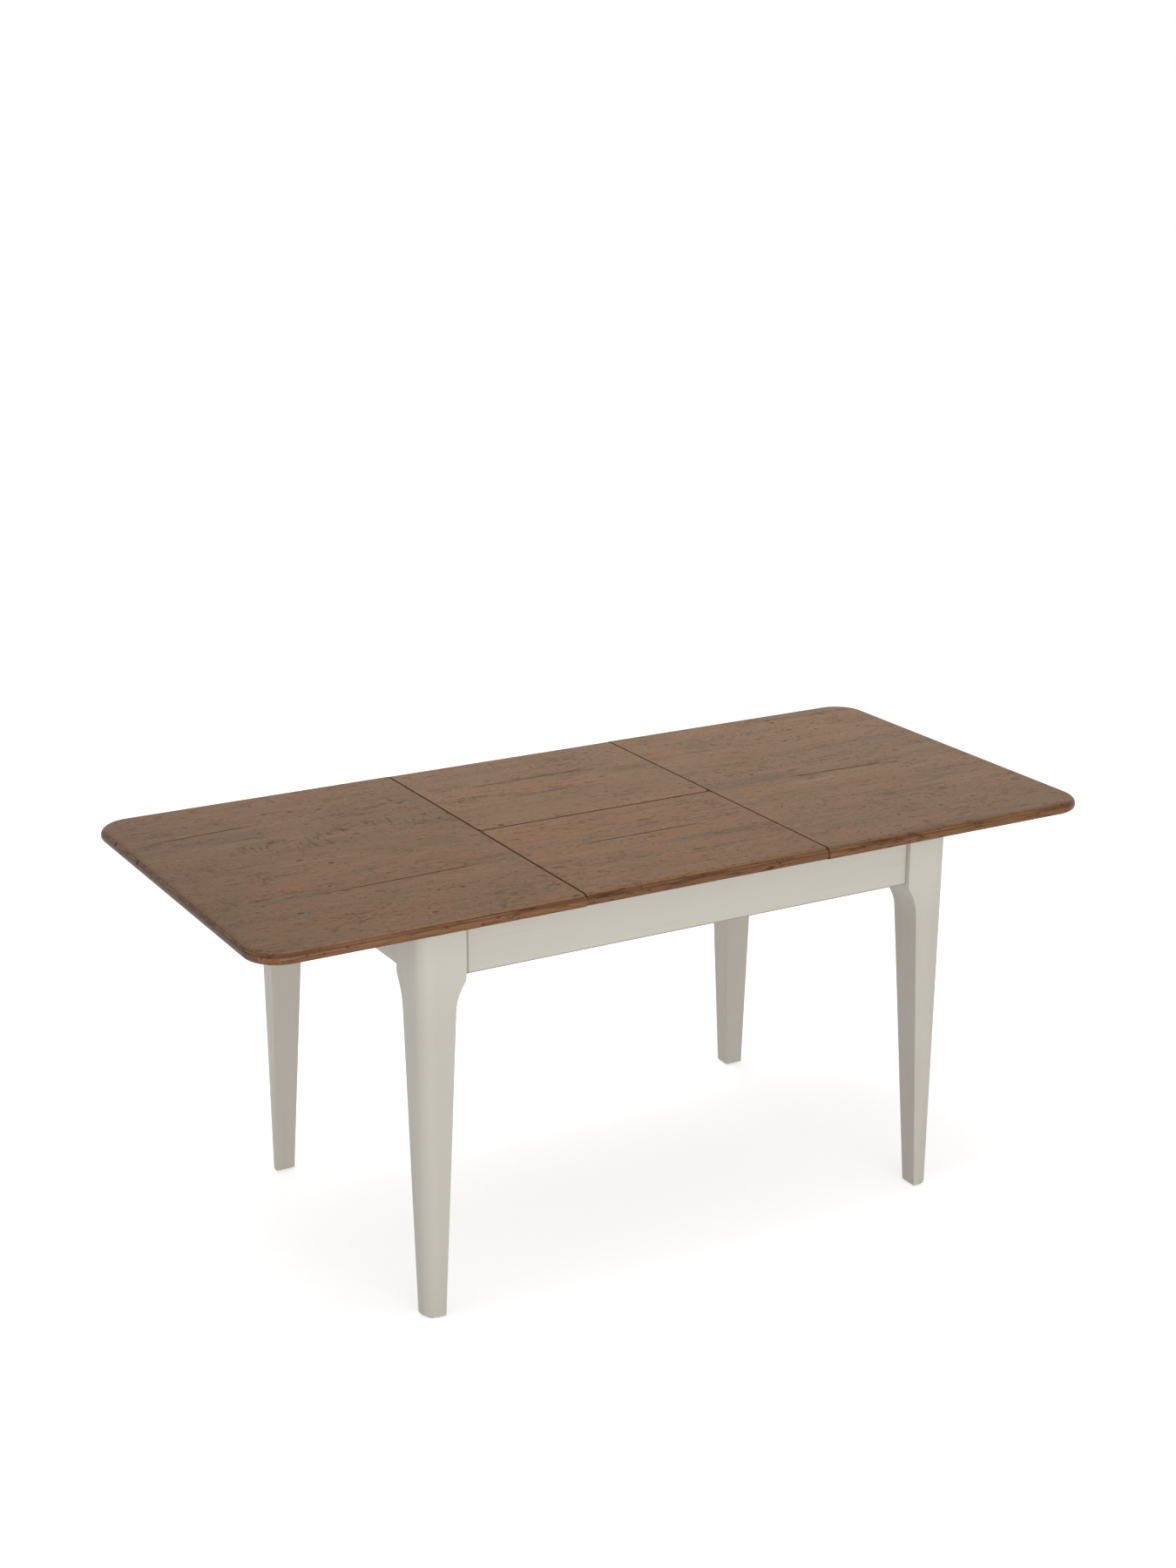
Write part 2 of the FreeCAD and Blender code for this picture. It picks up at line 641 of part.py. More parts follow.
# Cross bearers, fixed rails and the leaf ledges
def make_bearer(side, sign):
    name = "bearer_" + side
    body = new_body(name)
    half = "(%s + Sizes.bearer_housing)" % APRON_IN_Y
    sketch = sketch_on(body, "yz", name + "_face", signed(sign, BEARER_IN))
    rectangle(sketch, signed(-1, half), BEARER_LOW, half, RAIL_LOW)
    pad(body, sketch, "Sizes.bearer_thickness", reverse=sign < 0)
    middle = "(%s + Sizes.rail_thickness / 2)" % RAIL_NEAR
    spots = [(signed(sign, BEARER_MID), signed(way, middle)) for way in (-1, 1)]
    drill(body, "xy", name + "_pilots", BEARER_LOW, spots, SCREW_HOLE, "Sizes.bearer_height", True)
    drill(body, "xy", name + "_seats", BEARER_LOW, spots, HEAD_HOLE, "Sizes.rail_screw_seat", True)
    screws = PLATE_SCREWS + LEDGE_SCREWS
    drill(body, "yz", name + "_fixings", signed(sign, BEARER_IN), screws, SCREW_HOLE,
          "Sizes.screw_bite + Sizes.hole_clear", reverse=sign > 0)
    return spots


plate_low = "(%s + Sizes.plate_rise)" % BEARER_LOW
plate_high = FRAME_TOP
PLATE_SCREWS = []
for level in ("(%s + Sizes.plate_screw_edge)" % BEARER_LOW, "(%s - Sizes.plate_screw_edge)" % RAIL_LOW):
    for way in (-1, 1):
        PLATE_SCREWS.append(("%s + %s" % (PIVOT_Y, signed(way, "Sizes.pivot_plate_width * 0.3")), level))
STOW_LOW = "(2 * %s - %s - (%s - %s) - Sizes.stow_clear)" % (PIVOT_Z, TOP, TOP, LEAF_UNDER)
LEDGE_MID = "(-1.6 * %s)" % PIVOT_Y
LEDGE_SCREWS = []
for way in (-1, 1):
    LEDGE_SCREWS.append(("%s + %s" % (LEDGE_MID, signed(way, "Sizes.ledge_width * 0.3")),
                         "%s - Sizes.ledge_height / 2" % STOW_LOW))
rail_screw_spots = []
for side, sign in OUTWARD.items():
    rail_screw_spots += make_bearer(side, sign)
upright = turned(-90, (0, 1, 0))
group("rail_screws", rail_screw, [
    (across, depth, "%s + Sizes.rail_screw_seat" % BEARER_LOW, upright)
    for across, depth in rail_screw_spots
])


def make_rail(side, sign):
    name = "slide_rail_" + side
    body = new_body(name)
    sketch = sketch_on(body, "yz", name + "_section", signed(-1, APRON_IN_X))
    deep = "(Sizes.tongue_depth + Sizes.tongue_clear)"
    low = "(%s - Sizes.tongue_height / 2 - Sizes.tongue_clear)" % TONGUE_MID
    high = "(%s + Sizes.tongue_height / 2 + Sizes.tongue_clear)" % TONGUE_MID
    near_in = "(%s + %s)" % (RAIL_NEAR, deep)
    far_in = "(%s - %s)" % (RAIL_FAR, deep)
    outline(sketch, [(signed(sign, depth), level) for depth, level in [
        (RAIL_NEAR, RAIL_LOW), (RAIL_FAR, RAIL_LOW), (RAIL_FAR, low), (far_in, low),
        (far_in, high), (RAIL_FAR, high), (RAIL_FAR, FRAME_TOP), (RAIL_NEAR, FRAME_TOP),
        (RAIL_NEAR, high), (near_in, high), (near_in, low), (RAIL_NEAR, low),
    ]])
    pad(body, sketch, "2 * " + APRON_IN_X)
    middle = signed(sign, "%s + Sizes.rail_thickness / 2" % RAIL_NEAR)
    spots = [(signed(way, BEARER_MID), middle) for way in (-1, 1)]
    drill(body, "xy", name + "_pilots", RAIL_LOW, spots, SCREW_HOLE,
          rail_bite + " + Sizes.hole_clear", reverse=True)


for side, sign in DEPTHWARD.items():
    make_rail(side, sign)


def make_pivot_plate(side, sign):
    name = "pivot_plate_" + side
    body = new_body(name)
    sketch = sketch_on(body, "yz", name + "_face", signed(sign, PLATE_IN))
    half = "Sizes.pivot_plate_width / 2"
    rectangle(sketch, "%s - %s" % (PIVOT_Y, half), plate_low, "%s + %s" % (PIVOT_Y, half), plate_high)
    plate = pad(body, sketch, "Sizes.plate_thickness", reverse=sign < 0)
    high = number(plate_high)

    def upper_corner(edge):
        box = edge.BoundBox
        along_x = near(box.YMin, box.YMax) and not near(box.XMin, box.XMax)
        return along_x and near(box.ZMin, high)

    round_edges(body, plate, name + "_round", "Sizes.pivot_drop", upper_corner)
    face = signed(sign, PLATE_IN)
    deep = "Sizes.plate_thickness + 1"
    away = sign > 0
    drill(body, "yz", name + "_bore", face, [(PIVOT_Y, PIVOT_Z)],
          "Sizes.pivot_radius + Sizes.pivot_clear", deep, away)
    drill(body, "yz", name + "_holes", face, PLATE_SCREWS, SCREW_HOLE, deep, away)
    group("pivot_plate_screws_" + side, plate_screw, [
        (face, depth, level, turned(0 if sign > 0 else 180)) for depth, level in PLATE_SCREWS
    ])


def make_ledge(side, sign):
    name = "leaf_ledge_" + side
    body = new_body(name)
    sketch = sketch_on(body, "yz", name + "_face", signed(sign, BEARER_IN))
    half = "Sizes.ledge_width / 2"
    rectangle(sketch, "%s - %s" % (LEDGE_MID, half), "%s - Sizes.ledge_height" % STOW_LOW,
              "%s + %s" % (LEDGE_MID, half), STOW_LOW)
    pad(body, sketch, "Sizes.ledge_depth", reverse=sign > 0)
    face = signed(sign, BEARER_IN)
    drill(body, "yz", name + "_pilots", face, LEDGE_SCREWS, SCREW_HOLE, "Sizes.ledge_depth", sign < 0)
    inner = signed(sign, "%s - Sizes.ledge_depth" % BEARER_IN)
    drill(body, "yz", name + "_seats", inner, LEDGE_SCREWS, HEAD_HOLE, "Sizes.ledge_depth / 2", sign > 0)
    head = signed(sign, "%s - Sizes.ledge_depth / 2" % BEARER_IN)
    group("ledge_screws_" + side, ledge_screw, [
        (head, depth, level, turned(0 if sign > 0 else 180)) for depth, level in LEDGE_SCREWS
    ])


for side, sign in OUTWARD.items():
    make_pivot_plate(side, sign)
    make_ledge(side, sign)

# End tops with their runners; the left top rides inside the rails, the right top outside
RUNNER_FACES = {
    "left": (INNER_NEAR, INNER_FAR, 1),
    "right": (OUTER_FAR, OUTER_NEAR, -1),
}


def runner_spots(side, sign):
    back, face, way = RUNNER_FACES[side]
    middle = "((%s + %s) / 2)" % (back, face)
    span = "(%s - %s)" % (RUNNER_OUT, SEAM)
    stations = ["(%s + %s * %s)" % (SEAM, share, span) for share in (0.12, 0.5, 0.88)]
    return [(signed(sign, station), signed(row, middle)) for station in stations for row in (-1, 1)]


def make_top(side, sign):
    name = "top_" + side
    body = new_body(name)
    far = "(%s + Sizes.top_length)" % SEAM
    half = "Sizes.top_width / 2"
    sketch = sketch_on(body, "xy", name + "_plan", UNDER)
    rectangle(sketch, signed(sign, SEAM), signed(-1, half), signed(sign, far), half)
    panel = pad(body, sketch, "Sizes.top_thickness")
    end, seam, high, low = (sign * number(far), sign * number(SEAM), number(TOP), number(UNDER))

    def plan_corner(edge):
        return near(edge.BoundBox.XMin, end) and edge.BoundBox.XLength < 0.01 and edge.BoundBox.YLength < 0.01

    def rim(edge, level):
        at_seam = near(edge.BoundBox.XMin, seam) and near(edge.BoundBox.XMax, seam)
        return on_level(edge, level) and not at_seam

    corners = round_edges(body, panel, name + "_corners", "Sizes.corner_radius", plan_corner)
    upper = round_edges(body, corners, name + "_upper", "Sizes.upper_round",
                        lambda edge: rim(edge, high))
    round_edges(body, upper, name + "_lower", "Sizes.lower_round", lambda edge: rim(edge, low))
    drill(body, "xy", name + "_pilots", UNDER, runner_spots(side, sign), SCREW_HOLE,
          runner_bite + " + Sizes.hole_clear", reverse=True)


def make_runner(side, sign, row_name, row):
    name = "runner_%s_%s" % (side, row_name)
    body = new_body(name)
    back, face, way = RUNNER_FACES[side]
    tip = "(%s + %s)" % (face, signed(way, "Sizes.slide_gap + Sizes.tongue_depth"))
    low = "(%s - Sizes.tongue_height / 2)" % TONGUE_MID
    high = "(%s + Sizes.tongue_height / 2)" % TONGUE_MID
    sketch = sketch_on(body, "yz", name + "_section", signed(sign, RUNNER_IN))
    outline(sketch, [(signed(row, depth), level) for depth, level in [
        (back, RUNNER_LOW), (face, RUNNER_LOW), (face, low), (tip, low),
        (tip, high), (face, high), (face, UNDER), (back, UNDER),
    ]])
    pad(body, sketch, "%s - %s" % (RUNNER_OUT, RUNNER_IN), reverse=sign < 0)
    spots = [spot for index, spot in enumerate(runner_spots(side, sign)) if index % 2 == (row > 0)]
    drill(body, "xy", name + "_pilots", RUNNER_LOW, spots, SCREW_HOLE, "Sizes.runner_height", True)
    drill(body, "xy", name + "_seats", RUNNER_LOW, spots, HEAD_HOLE, "Sizes.rail_screw_seat", True)


for side, sign in OUTWARD.items():
    make_top(side, sign)
    for row_name, row in DEPTHWARD.items():
        make_runner(side, sign, row_name, row)
    group("runner_screws_" + side, runner_screw, [
        (across, depth, "%s + Sizes.rail_screw_seat" % RUNNER_LOW, upright)
        for across, depth in runner_spots(side, sign)
    ])

# Folding leaf: two half panels, the flush hinges between them and the pivot under the rear half
HINGE_SCREWS = ["Sizes.hinge_length * 0.45", "Sizes.hinge_length * 0.8"]
HINGE_LEVEL = "(%s - (Sizes.hinge_top + Sizes.hinge_bottom) / 2)" % TOP
HINGE_AXIS = "(%s + Sizes.hinge_rise - Sizes.hinge_reach)" % TOP
FOLD_AXIS = "(%s + Sizes.hinge_rise)" % TOP
SLOT_END = "(Sizes.hinge_reach * (2 * sqrt(2) - 1))"
SWING = "(sqrt(%s * %s + Sizes.hinge_reach * Sizes.hinge_reach)" \
        " + Sizes.hinge_lug_radius + Sizes.hinge_clear)" % (SLOT_END, SLOT_END)
HINGE_PILOT = "(Sizes.hinge_screw_radius + Sizes.hole_clear)"
HINGE_SEAT = "(Sizes.hinge_head_radius + Sizes.hole_clear)"
LAYER_FACE = "(%s - Sizes.hinge_layer)" % LEAF_END
PLATE_FACE = "(%s - 2 * Sizes.hinge_layer)" % LEAF_END
BRACKET_FACE = "(%s - Sizes.bracket_inset)" % LEAF_END
FLANGE_IN = "(%s - Sizes.bracket_thickness)" % BRACKET_FACE
BRACKET_SCREWS = []
for reach in ("Sizes.bracket_length * 0.5", "Sizes.bracket_length * 0.8"):
    for way in (-1, 1):
        BRACKET_SCREWS.append(("(%s - %s)" % (BRACKET_FACE, reach),
                               "%s + %s" % (PIVOT_Y, signed(way, "Sizes.bracket_width * 0.3"))))


def make_leaf(row_name, row):
    name = "leaf_" + row_name
    body = new_body(name)
    edge_far = "(Sizes.top_width / 2 - Sizes.leaf_inset)"
    sketch = sketch_on(body, "xy", name + "_plan", LEAF_UNDER)
    rectangle(sketch, signed(-1, LEAF_END), signed(row, FOLD_EDGE), LEAF_END, signed(row, edge_far))
    panel = pad(body, sketch, "Sizes.top_thickness - Sizes.leaf_clear")
    rim, fold = row * number(edge_far), row * number(FOLD_EDGE)
    high, low = number(TOP), number(LEAF_UNDER)

    def along(edge, depth, level):
        return on_level(edge, level) and near(edge.BoundBox.YMin, depth) and near(edge.BoundBox.YMax, depth)

    upper = round_edges(body, panel, name + "_upper", "Sizes.upper_round",
                        lambda edge: along(edge, rim, high))
    lower = round_edges(body, upper, name + "_lower", "Sizes.lower_round - Sizes.leaf_clear",
                        lambda edge: along(edge, rim, low))
    round_edges(body, lower, name + "_fold", "Sizes.fold_round", lambda edge: along(edge, fold, high))
    for side, sign in OUTWARD.items():
        end_face = signed(sign, LEAF_END)
        mortise = sketch_on(body, "yz", "%s_mortise_%s" % (name, side), end_face)
        rectangle(mortise, signed(row, "-" + FOLD_EDGE),
                  "%s - Sizes.hinge_bottom - Sizes.hinge_clear" % TOP,
                  signed(row, "Sizes.hinge_length + Sizes.hinge_clear"),
                  "%s - Sizes.hinge_top + Sizes.hinge_clear" % TOP)
        pocket(body, mortise, "2 * Sizes.hinge_layer", reverse=sign < 0)
        drill(body, "yz", "%s_swing_%s" % (name, side), end_face, [("0", FOLD_AXIS)], SWING,
              "2 * Sizes.hinge_layer", reverse=sign < 0)
        spots = [(signed(row, depth), HINGE_LEVEL) for depth in HINGE_SCREWS]
        drill(body, "yz", "%s_hinge_pilots_%s" % (name, side), signed(sign, PLATE_FACE), spots,
              HINGE_PILOT, "Sizes.screw_bite + Sizes.hole_clear", reverse=sign < 0)
        if row > 0:
            holes = [(signed(sign, across), depth) for across, depth in BRACKET_SCREWS]
            drill(body, "xy", "%s_pivot_pilots_%s" % (name, side), LEAF_UNDER, holes, SCREW_HOLE,
                  "Sizes.screw_bite + Sizes.hole_clear", reverse=True)


def make_hinge_plate(row_name, row, side, sign):
    name = "hinge_plate_%s_%s" % (row_name, side)
    body = new_body(name)
    near_side = "(Sizes.hinge_reach - Sizes.hinge_lug_radius)"
    far_side = "(Sizes.hinge_reach + Sizes.hinge_lug_radius)"
    low, high = "%s - Sizes.hinge_bottom" % TOP, "%s - Sizes.hinge_top" % TOP
    inner = sketch_on(body, "yz", name + "_inner", signed(sign, PLATE_FACE))
    outline(inner, [(signed(row, depth), level) for depth, level in [
        (near_side, low), ("Sizes.hinge_length", low), ("Sizes.hinge_length", high),
        (far_side, high), (far_side, HINGE_AXIS), (near_side, HINGE_AXIS),
    ]])
    pad(body, inner, "Sizes.hinge_layer", reverse=sign < 0)
    lug = sketch_on(body, "yz", name + "_lug", signed(sign, PLATE_FACE))
    spot = [(signed(row, "Sizes.hinge_reach"), HINGE_AXIS)]
    circles(lug, spot, "Sizes.hinge_lug_radius")
    pad(body, lug, "Sizes.hinge_layer", reverse=sign < 0)
    outer = sketch_on(body, "yz", name + "_outer", signed(sign, LAYER_FACE))
    rectangle(outer, signed(row, far_side + " + 4 * Sizes.hinge_clear"), low,
              signed(row, "Sizes.hinge_length"), high)
    pad(body, outer, "Sizes.hinge_layer", reverse=sign < 0)
    inward = sign < 0
    drill(body, "yz", name + "_bore", signed(sign, LAYER_FACE), spot,
          "Sizes.hinge_pin_radius + Sizes.pivot_seat", "Sizes.hinge_layer", inward)
    screws = [(signed(row, depth), HINGE_LEVEL) for depth in HINGE_SCREWS]
    drill(body, "yz", name + "_holes", signed(sign, LEAF_END), screws, HINGE_PILOT,
          "2 * Sizes.hinge_layer", inward)
    drill(body, "yz", name + "_seats", signed(sign, LEAF_END), screws, HINGE_SEAT, small_head, inward)
    return [(signed(sign, "%s - %s" % (LEAF_END, small_head)), depth, level,
             turned(180 if sign > 0 else 0)) for depth, level in screws]


def obround(sketch, level, start, end, radius):
    # Two half circles joined by straight sides, with the centres on one level
    high, reach = number(level), number(radius)
    left, right = number(start), number(end)
    axis = Vector(0, 0, 1)
    quarter = math.pi / 2
    low_side = Part.LineSegment(Vector(left, high - reach, 0), Vector(right, high - reach, 0))
    far_arc = Part.ArcOfCircle(Part.Circle(Vector(right, high, 0), axis, reach), -quarter, quarter)
    top_side = Part.LineSegment(Vector(right, high + reach, 0), Vector(left, high + reach, 0))
    near_arc = Part.ArcOfCircle(Part.Circle(Vector(left, high, 0), axis, reach), quarter, 3 * quarter)
    items = [sketch.addGeometry(item, False) for item in (low_side, far_arc, top_side, near_arc)]
    for item, following in zip(items, items[1:] + items[:1]):
        sketch.addConstraint(Sketcher.Constraint("Tangent", item, 2, following, 1))
    for item, across in ((items[1], end), (items[3], start)):
        bind(sketch, "Radius", (item,), radius)
        fix_point(sketch, item, 3, across, level)


def make_link(side, sign):
    # The rear pin turns in a round eye, the front one also runs along a slot
    name = "hinge_link_" + side
    body = new_body(name)
    start = signed(sign, LAYER_FACE + " + Sizes.link_play")
    far, near_end, eye = "-" + SLOT_END, "-Sizes.hinge_reach", "Sizes.hinge_reach"
    bore = "Sizes.hinge_pin_radius + Sizes.pivot_clear"
    bar = sketch_on(body, "yz", name + "_bar", start)
    obround(bar, HINGE_AXIS, far, eye, "Sizes.hinge_lug_radius")
    pad(body, bar, "Sizes.hinge_layer - 3 * Sizes.link_play", reverse=sign < 0)
    drill(body, "yz", name + "_eye", start, [(eye, HINGE_AXIS)], bore, "Sizes.hinge_layer",
          reverse=sign > 0)
    slot = sketch_on(body, "yz", name + "_slot", start)
    obround(slot, HINGE_AXIS, far, near_end, bore)
    pocket(body, slot, "Sizes.hinge_layer", reverse=sign > 0)


def make_bracket(side, sign):
    name = "pivot_bracket_" + side
    body = new_body(name)
    half = "Sizes.bracket_width / 2"
    sketch = sketch_on(body, "xz", name + "_section", "%s - %s" % (PIVOT_Y, half))
    low = "(%s - Sizes.pivot_radius - Sizes.bracket_wall)" % PIVOT_Z
    shelf = "(%s - Sizes.bracket_thickness)" % LEAF_UNDER
    outline(sketch, [(signed(sign, across), level) for across, level in [
        ("%s - Sizes.bracket_length" % BRACKET_FACE, LEAF_UNDER), (BRACKET_FACE, LEAF_UNDER),
        (BRACKET_FACE, low), (FLANGE_IN, low), (FLANGE_IN, shelf),
        ("%s - Sizes.bracket_length" % BRACKET_FACE, shelf),
    ]])
    angle = pad(body, sketch, "Sizes.bracket_width", reverse=True)
    bottom = number(low)
    round_edges(body, angle, name + "_round", "Sizes.pivot_radius + Sizes.bracket_wall / 2",
                lambda edge: on_level(edge, bottom) and edge.BoundBox.YLength < 0.1)
    drill(body, "yz", name + "_bore", signed(sign, BRACKET_FACE), [(PIVOT_Y, PIVOT_Z)],
          "Sizes.pivot_radius + Sizes.pivot_seat", "Sizes.bracket_thickness", sign < 0)
    holes = [(signed(sign, across), depth) for across, depth in BRACKET_SCREWS]
    drill(body, "xy", name + "_holes", shelf, holes, SCREW_HOLE, "Sizes.bracket_thickness", True)
    return [(across, depth, shelf, upright) for across, depth in holes]


hinge_pin = shaft("hinge_pin", [
    ("0", "2 * Sizes.hinge_layer - 3 * Sizes.link_play", "Sizes.hinge_pin_radius"),
])
for row_name, row in DEPTHWARD.items():
    make_leaf(row_name, row)
    screws = []
    pins = []
    for side, sign in OUTWARD.items():
        screws += make_hinge_plate(row_name, row, side, sign)
        pins.append((signed(sign, PLATE_FACE + " + Sizes.link_play"), signed(row, "Sizes.hinge_reach"),
                     HINGE_AXIS, turned(0 if sign > 0 else 180)))
    group("hinge_screws_" + row_name, hinge_screw, screws)
    group("hinge_pins_" + row_name, hinge_pin, pins)

bracket_spots = []
for side, sign in OUTWARD.items():
    make_link(side, sign)
    bracket_spots += make_bracket(side, sign)
group("bracket_screws", bracket_screw, bracket_spots)

pin_end = "(%s + Sizes.plate_thickness + Sizes.clip_thickness + Sizes.pivot_tail - %s)" % (
    PLATE_IN, FLANGE_IN)
pivot_pin = shaft("pivot_pin", [
    ("-Sizes.pivot_head_height", "0", "Sizes.pivot_head_radius"),
    ("0", pin_end, "Sizes.pivot_radius"),
])
pin_bore = "Sizes.pivot_radius + Sizes.pivot_seat"
spacer = ring("spacer", pin_bore, "Sizes.pivot_head_radius",
              "%s - %s - 2 * Sizes.spacer_play" % (PLATE_IN, BRACKET_FACE))
clip = ring("clip", pin_bore, "Sizes.pivot_head_radius", "Sizes.clip_thickness")


def on_pivot(station):
    return [(signed(sign, station), PIVOT_Y, PIVOT_Z, turned(0 if sign > 0 else 180))
            for sign in OUTWARD.values()]


group("pivot_pins", pivot_pin, on_pivot(FLANGE_IN))
group("pivot_spacers", spacer, on_pivot(BRACKET_FACE + " + Sizes.spacer_play"))
group("pivot_clips", clip, on_pivot("%s + Sizes.plate_thickness + Sizes.spacer_play" % PLATE_IN))

doc.recompute()
for item in doc.Objects:
    if "Invalid" in item.State or "Error" in item.State:
        raise RuntimeError("%s is not built: %s" % (item.Label, item.State))
for node in nodes:
    if node.Shape.isNull() or not node.Shape.isValid():
        raise RuntimeError("%s has no valid shape" % node.Label)

os.makedirs("parts", exist_ok=True)
for node in nodes:
    node.Shape.exportStep("parts/%s.step" % node.Label)
print("nodes written:", len(nodes))
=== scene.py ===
import json
import math

import bpy
import numpy as np
from mathutils import Matrix, Vector

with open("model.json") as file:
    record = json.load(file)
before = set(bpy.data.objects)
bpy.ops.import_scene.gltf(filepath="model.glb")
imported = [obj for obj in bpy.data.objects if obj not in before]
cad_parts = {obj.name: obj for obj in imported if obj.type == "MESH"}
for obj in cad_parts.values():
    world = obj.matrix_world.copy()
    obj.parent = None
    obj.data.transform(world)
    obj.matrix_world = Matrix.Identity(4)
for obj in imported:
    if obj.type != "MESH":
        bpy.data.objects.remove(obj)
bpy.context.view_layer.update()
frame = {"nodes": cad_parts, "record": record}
nodes = frame["nodes"]
scene = bpy.context.scene
print("table loaded:", len(nodes), "pieces")


# small helpers for wiring shader nodes
def put(tree, kind, **settings):
    node = tree.nodes.new(kind)
    for key, value in settings.items():
        setattr(node, key, value)
    return node


def feed(tree, socket, value):
    if isinstance(value, bpy.types.NodeSocket):
        tree.links.new(value, socket)
    else:
        socket.default_value = value


def calc(tree, operation, *values, clamp=False):
    node = put(tree, "ShaderNodeMath", operation=operation, use_clamp=clamp)
    for socket, value in zip(node.inputs, values):
        feed(tree, socket, value)
    return node.outputs[0]


def product(tree, first, *others):
    for value in others:
        first = calc(tree, "MULTIPLY", first, value)
    return first


def largest(tree, first, *others):
    for value in others:
        first = calc(tree, "MAXIMUM", first, value)
    return first


def awayFrom(tree, value, middle):
    return calc(tree, "ABSOLUTE", calc(tree, "SUBTRACT", value, middle))


def reachOf(tree, first, second):
    return calc(tree, "SQRT", calc(tree, "ADD", product(tree, first, first), product(tree, second, second)))


def vectorCalc(tree, operation, *values):
    node = put(tree, "ShaderNodeVectorMath", operation=operation)
    for socket, value in zip(node.inputs, values):
        feed(tree, socket, value)
    return node.outputs[0]


def smoothRamp(tree, value, low, high, start=0.0, end=1.0):
    node = put(tree, "ShaderNodeMapRange", interpolation_type="SMOOTHSTEP")
    for socket, item in zip(node.inputs, (value, low, high, start, end)):
        feed(tree, socket, item)
    return node.outputs[0]


def cloud(tree, vector, scale, detail=3.0, roughness=0.5, warp=0.0):
    node = put(tree, "ShaderNodeTexNoise")
    feed(tree, node.inputs["Vector"], vector)
    for name, value in (("Scale", scale), ("Detail", detail), ("Roughness", roughness), ("Distortion", warp)):
        node.inputs[name].default_value = value
    return node.outputs["Fac"]


# noise on coordinates that are stretched by one factor for each axis
def drawnCloud(tree, vector, stretch, *shape):
    return cloud(tree, vectorCalc(tree, "MULTIPLY", vector, stretch), 1.0, *shape)


# the colours of a Mix node are its inputs 6 and 7 and its output 2
def stain(tree, factor, first, second, mode="MIX"):
    node = put(tree, "ShaderNodeMix", data_type="RGBA", blend_type=mode)
    feed(tree, node.inputs[0], factor)
    feed(tree, node.inputs[6], first)
    feed(tree, node.inputs[7], second)
    return node.outputs[2]


def splitAxes(tree, vector):
    node = put(tree, "ShaderNodeSeparateXYZ")
    feed(tree, node.inputs[0], vector)
    return node.outputs


def newGroup(name, inputs, outputs):
    tree = bpy.data.node_groups.new(name, "ShaderNodeTree")
    kinds = {"v": "NodeSocketVector", "f": "NodeSocketFloat", "c": "NodeSocketColor"}
    for label, kind in inputs:
        tree.interface.new_socket(name=label, in_out="INPUT", socket_type=kinds[kind])
    for label, kind in outputs:
        tree.interface.new_socket(name=label, in_out="OUTPUT", socket_type=kinds[kind])
    return tree, tree.nodes.new("NodeGroupInput").outputs, tree.nodes.new("NodeGroupOutput").inputs


def useGroup(tree, group, **values):
    node = put(tree, "ShaderNodeGroup", node_tree=group)
    for label, value in values.items():
        feed(tree, node.inputs[label], value)
    return node.outputs


def newMaterial(name):
    material = bpy.data.materials.new(name)
    material.use_nodes = True
    tree = material.node_tree
    return material, tree, tree.nodes["Principled BSDF"]


def objectCoords(tree):
    return put(tree, "ShaderNodeTexCoord").outputs["Object"]


def bumpFrom(tree, shader, height, strength, distance):
    node = put(tree, "ShaderNodeBump")
    node.inputs["Strength"].default_value = strength
    node.inputs["Distance"].default_value = distance
    feed(tree, node.inputs["Height"], height)
    feed(tree, shader.inputs["Normal"], node.outputs[0])


# in all the dictionaries below, noise is given as scale, detail, roughness and warp, with one stretch for
# each axis in place of the scale where it is drawn out, and a ramp as from, to and the values there
grainWork = {"Bands": (1.0, 3.0, 0.55, 0.4), "Streaks": (7.0, 4.0, 0.6, 0.3), "Fibres": (42.0, 2.0, 0.6)}


# grain drawn out along one direction: noise on coordinates squeezed along the fibres
def makeGrainGroup():
    inputs = [("Vector", "v"), ("Stretch", "v")]
    tree, given, result = newGroup("grainField", inputs, [(label, "f") for label in grainWork])
    drawn = vectorCalc(tree, "MULTIPLY", given["Vector"], given["Stretch"])
    for label, shape in grainWork.items():
        feed(tree, result[label], cloud(tree, drawn, *shape))
    return tree


lineWork = {"sway": (9.0, 2.0), "swayReach": 0.003, "core": 0.45, "ends": (0.0, 0.04),
            "wear": (26.0, 3.0), "wearRamp": (0.32, 0.5, 0.65, 1.0)}


# one fine dark joint or crack: a line y = level + slope * (x - start), faded at both ends
def makeLineGroup():
    look = lineWork
    inputs = [("Vector", "v"), ("Start", "f"), ("End", "f"), ("Level", "f"), ("Slope", "f"), ("Width", "f")]
    tree, given, result = newGroup("jointLine", inputs, [("Mask", "f")])
    axes = splitAxes(tree, given["Vector"])
    passed = calc(tree, "SUBTRACT", axes[0], given["Start"])
    ahead = calc(tree, "SUBTRACT", given["End"], axes[0])
    sway = calc(tree, "MULTIPLY_ADD", cloud(tree, given["Vector"], *look["sway"]),
                look["swayReach"], -look["swayReach"] / 2)
    middle = calc(tree, "ADD", calc(tree, "MULTIPLY_ADD", passed, given["Slope"], given["Level"]), sway)
    gap = awayFrom(tree, axes[1], middle)
    body = smoothRamp(tree, gap, product(tree, given["Width"], look["core"]), given["Width"], 1.0, 0.0)
    enter, leave = (smoothRamp(tree, rest, *look["ends"]) for rest in (passed, ahead))
    broken = smoothRamp(tree, cloud(tree, given["Vector"], *look["wear"]), *look["wearRamp"])
    feed(tree, result["Mask"], product(tree, body, enter, leave, broken))
    return tree


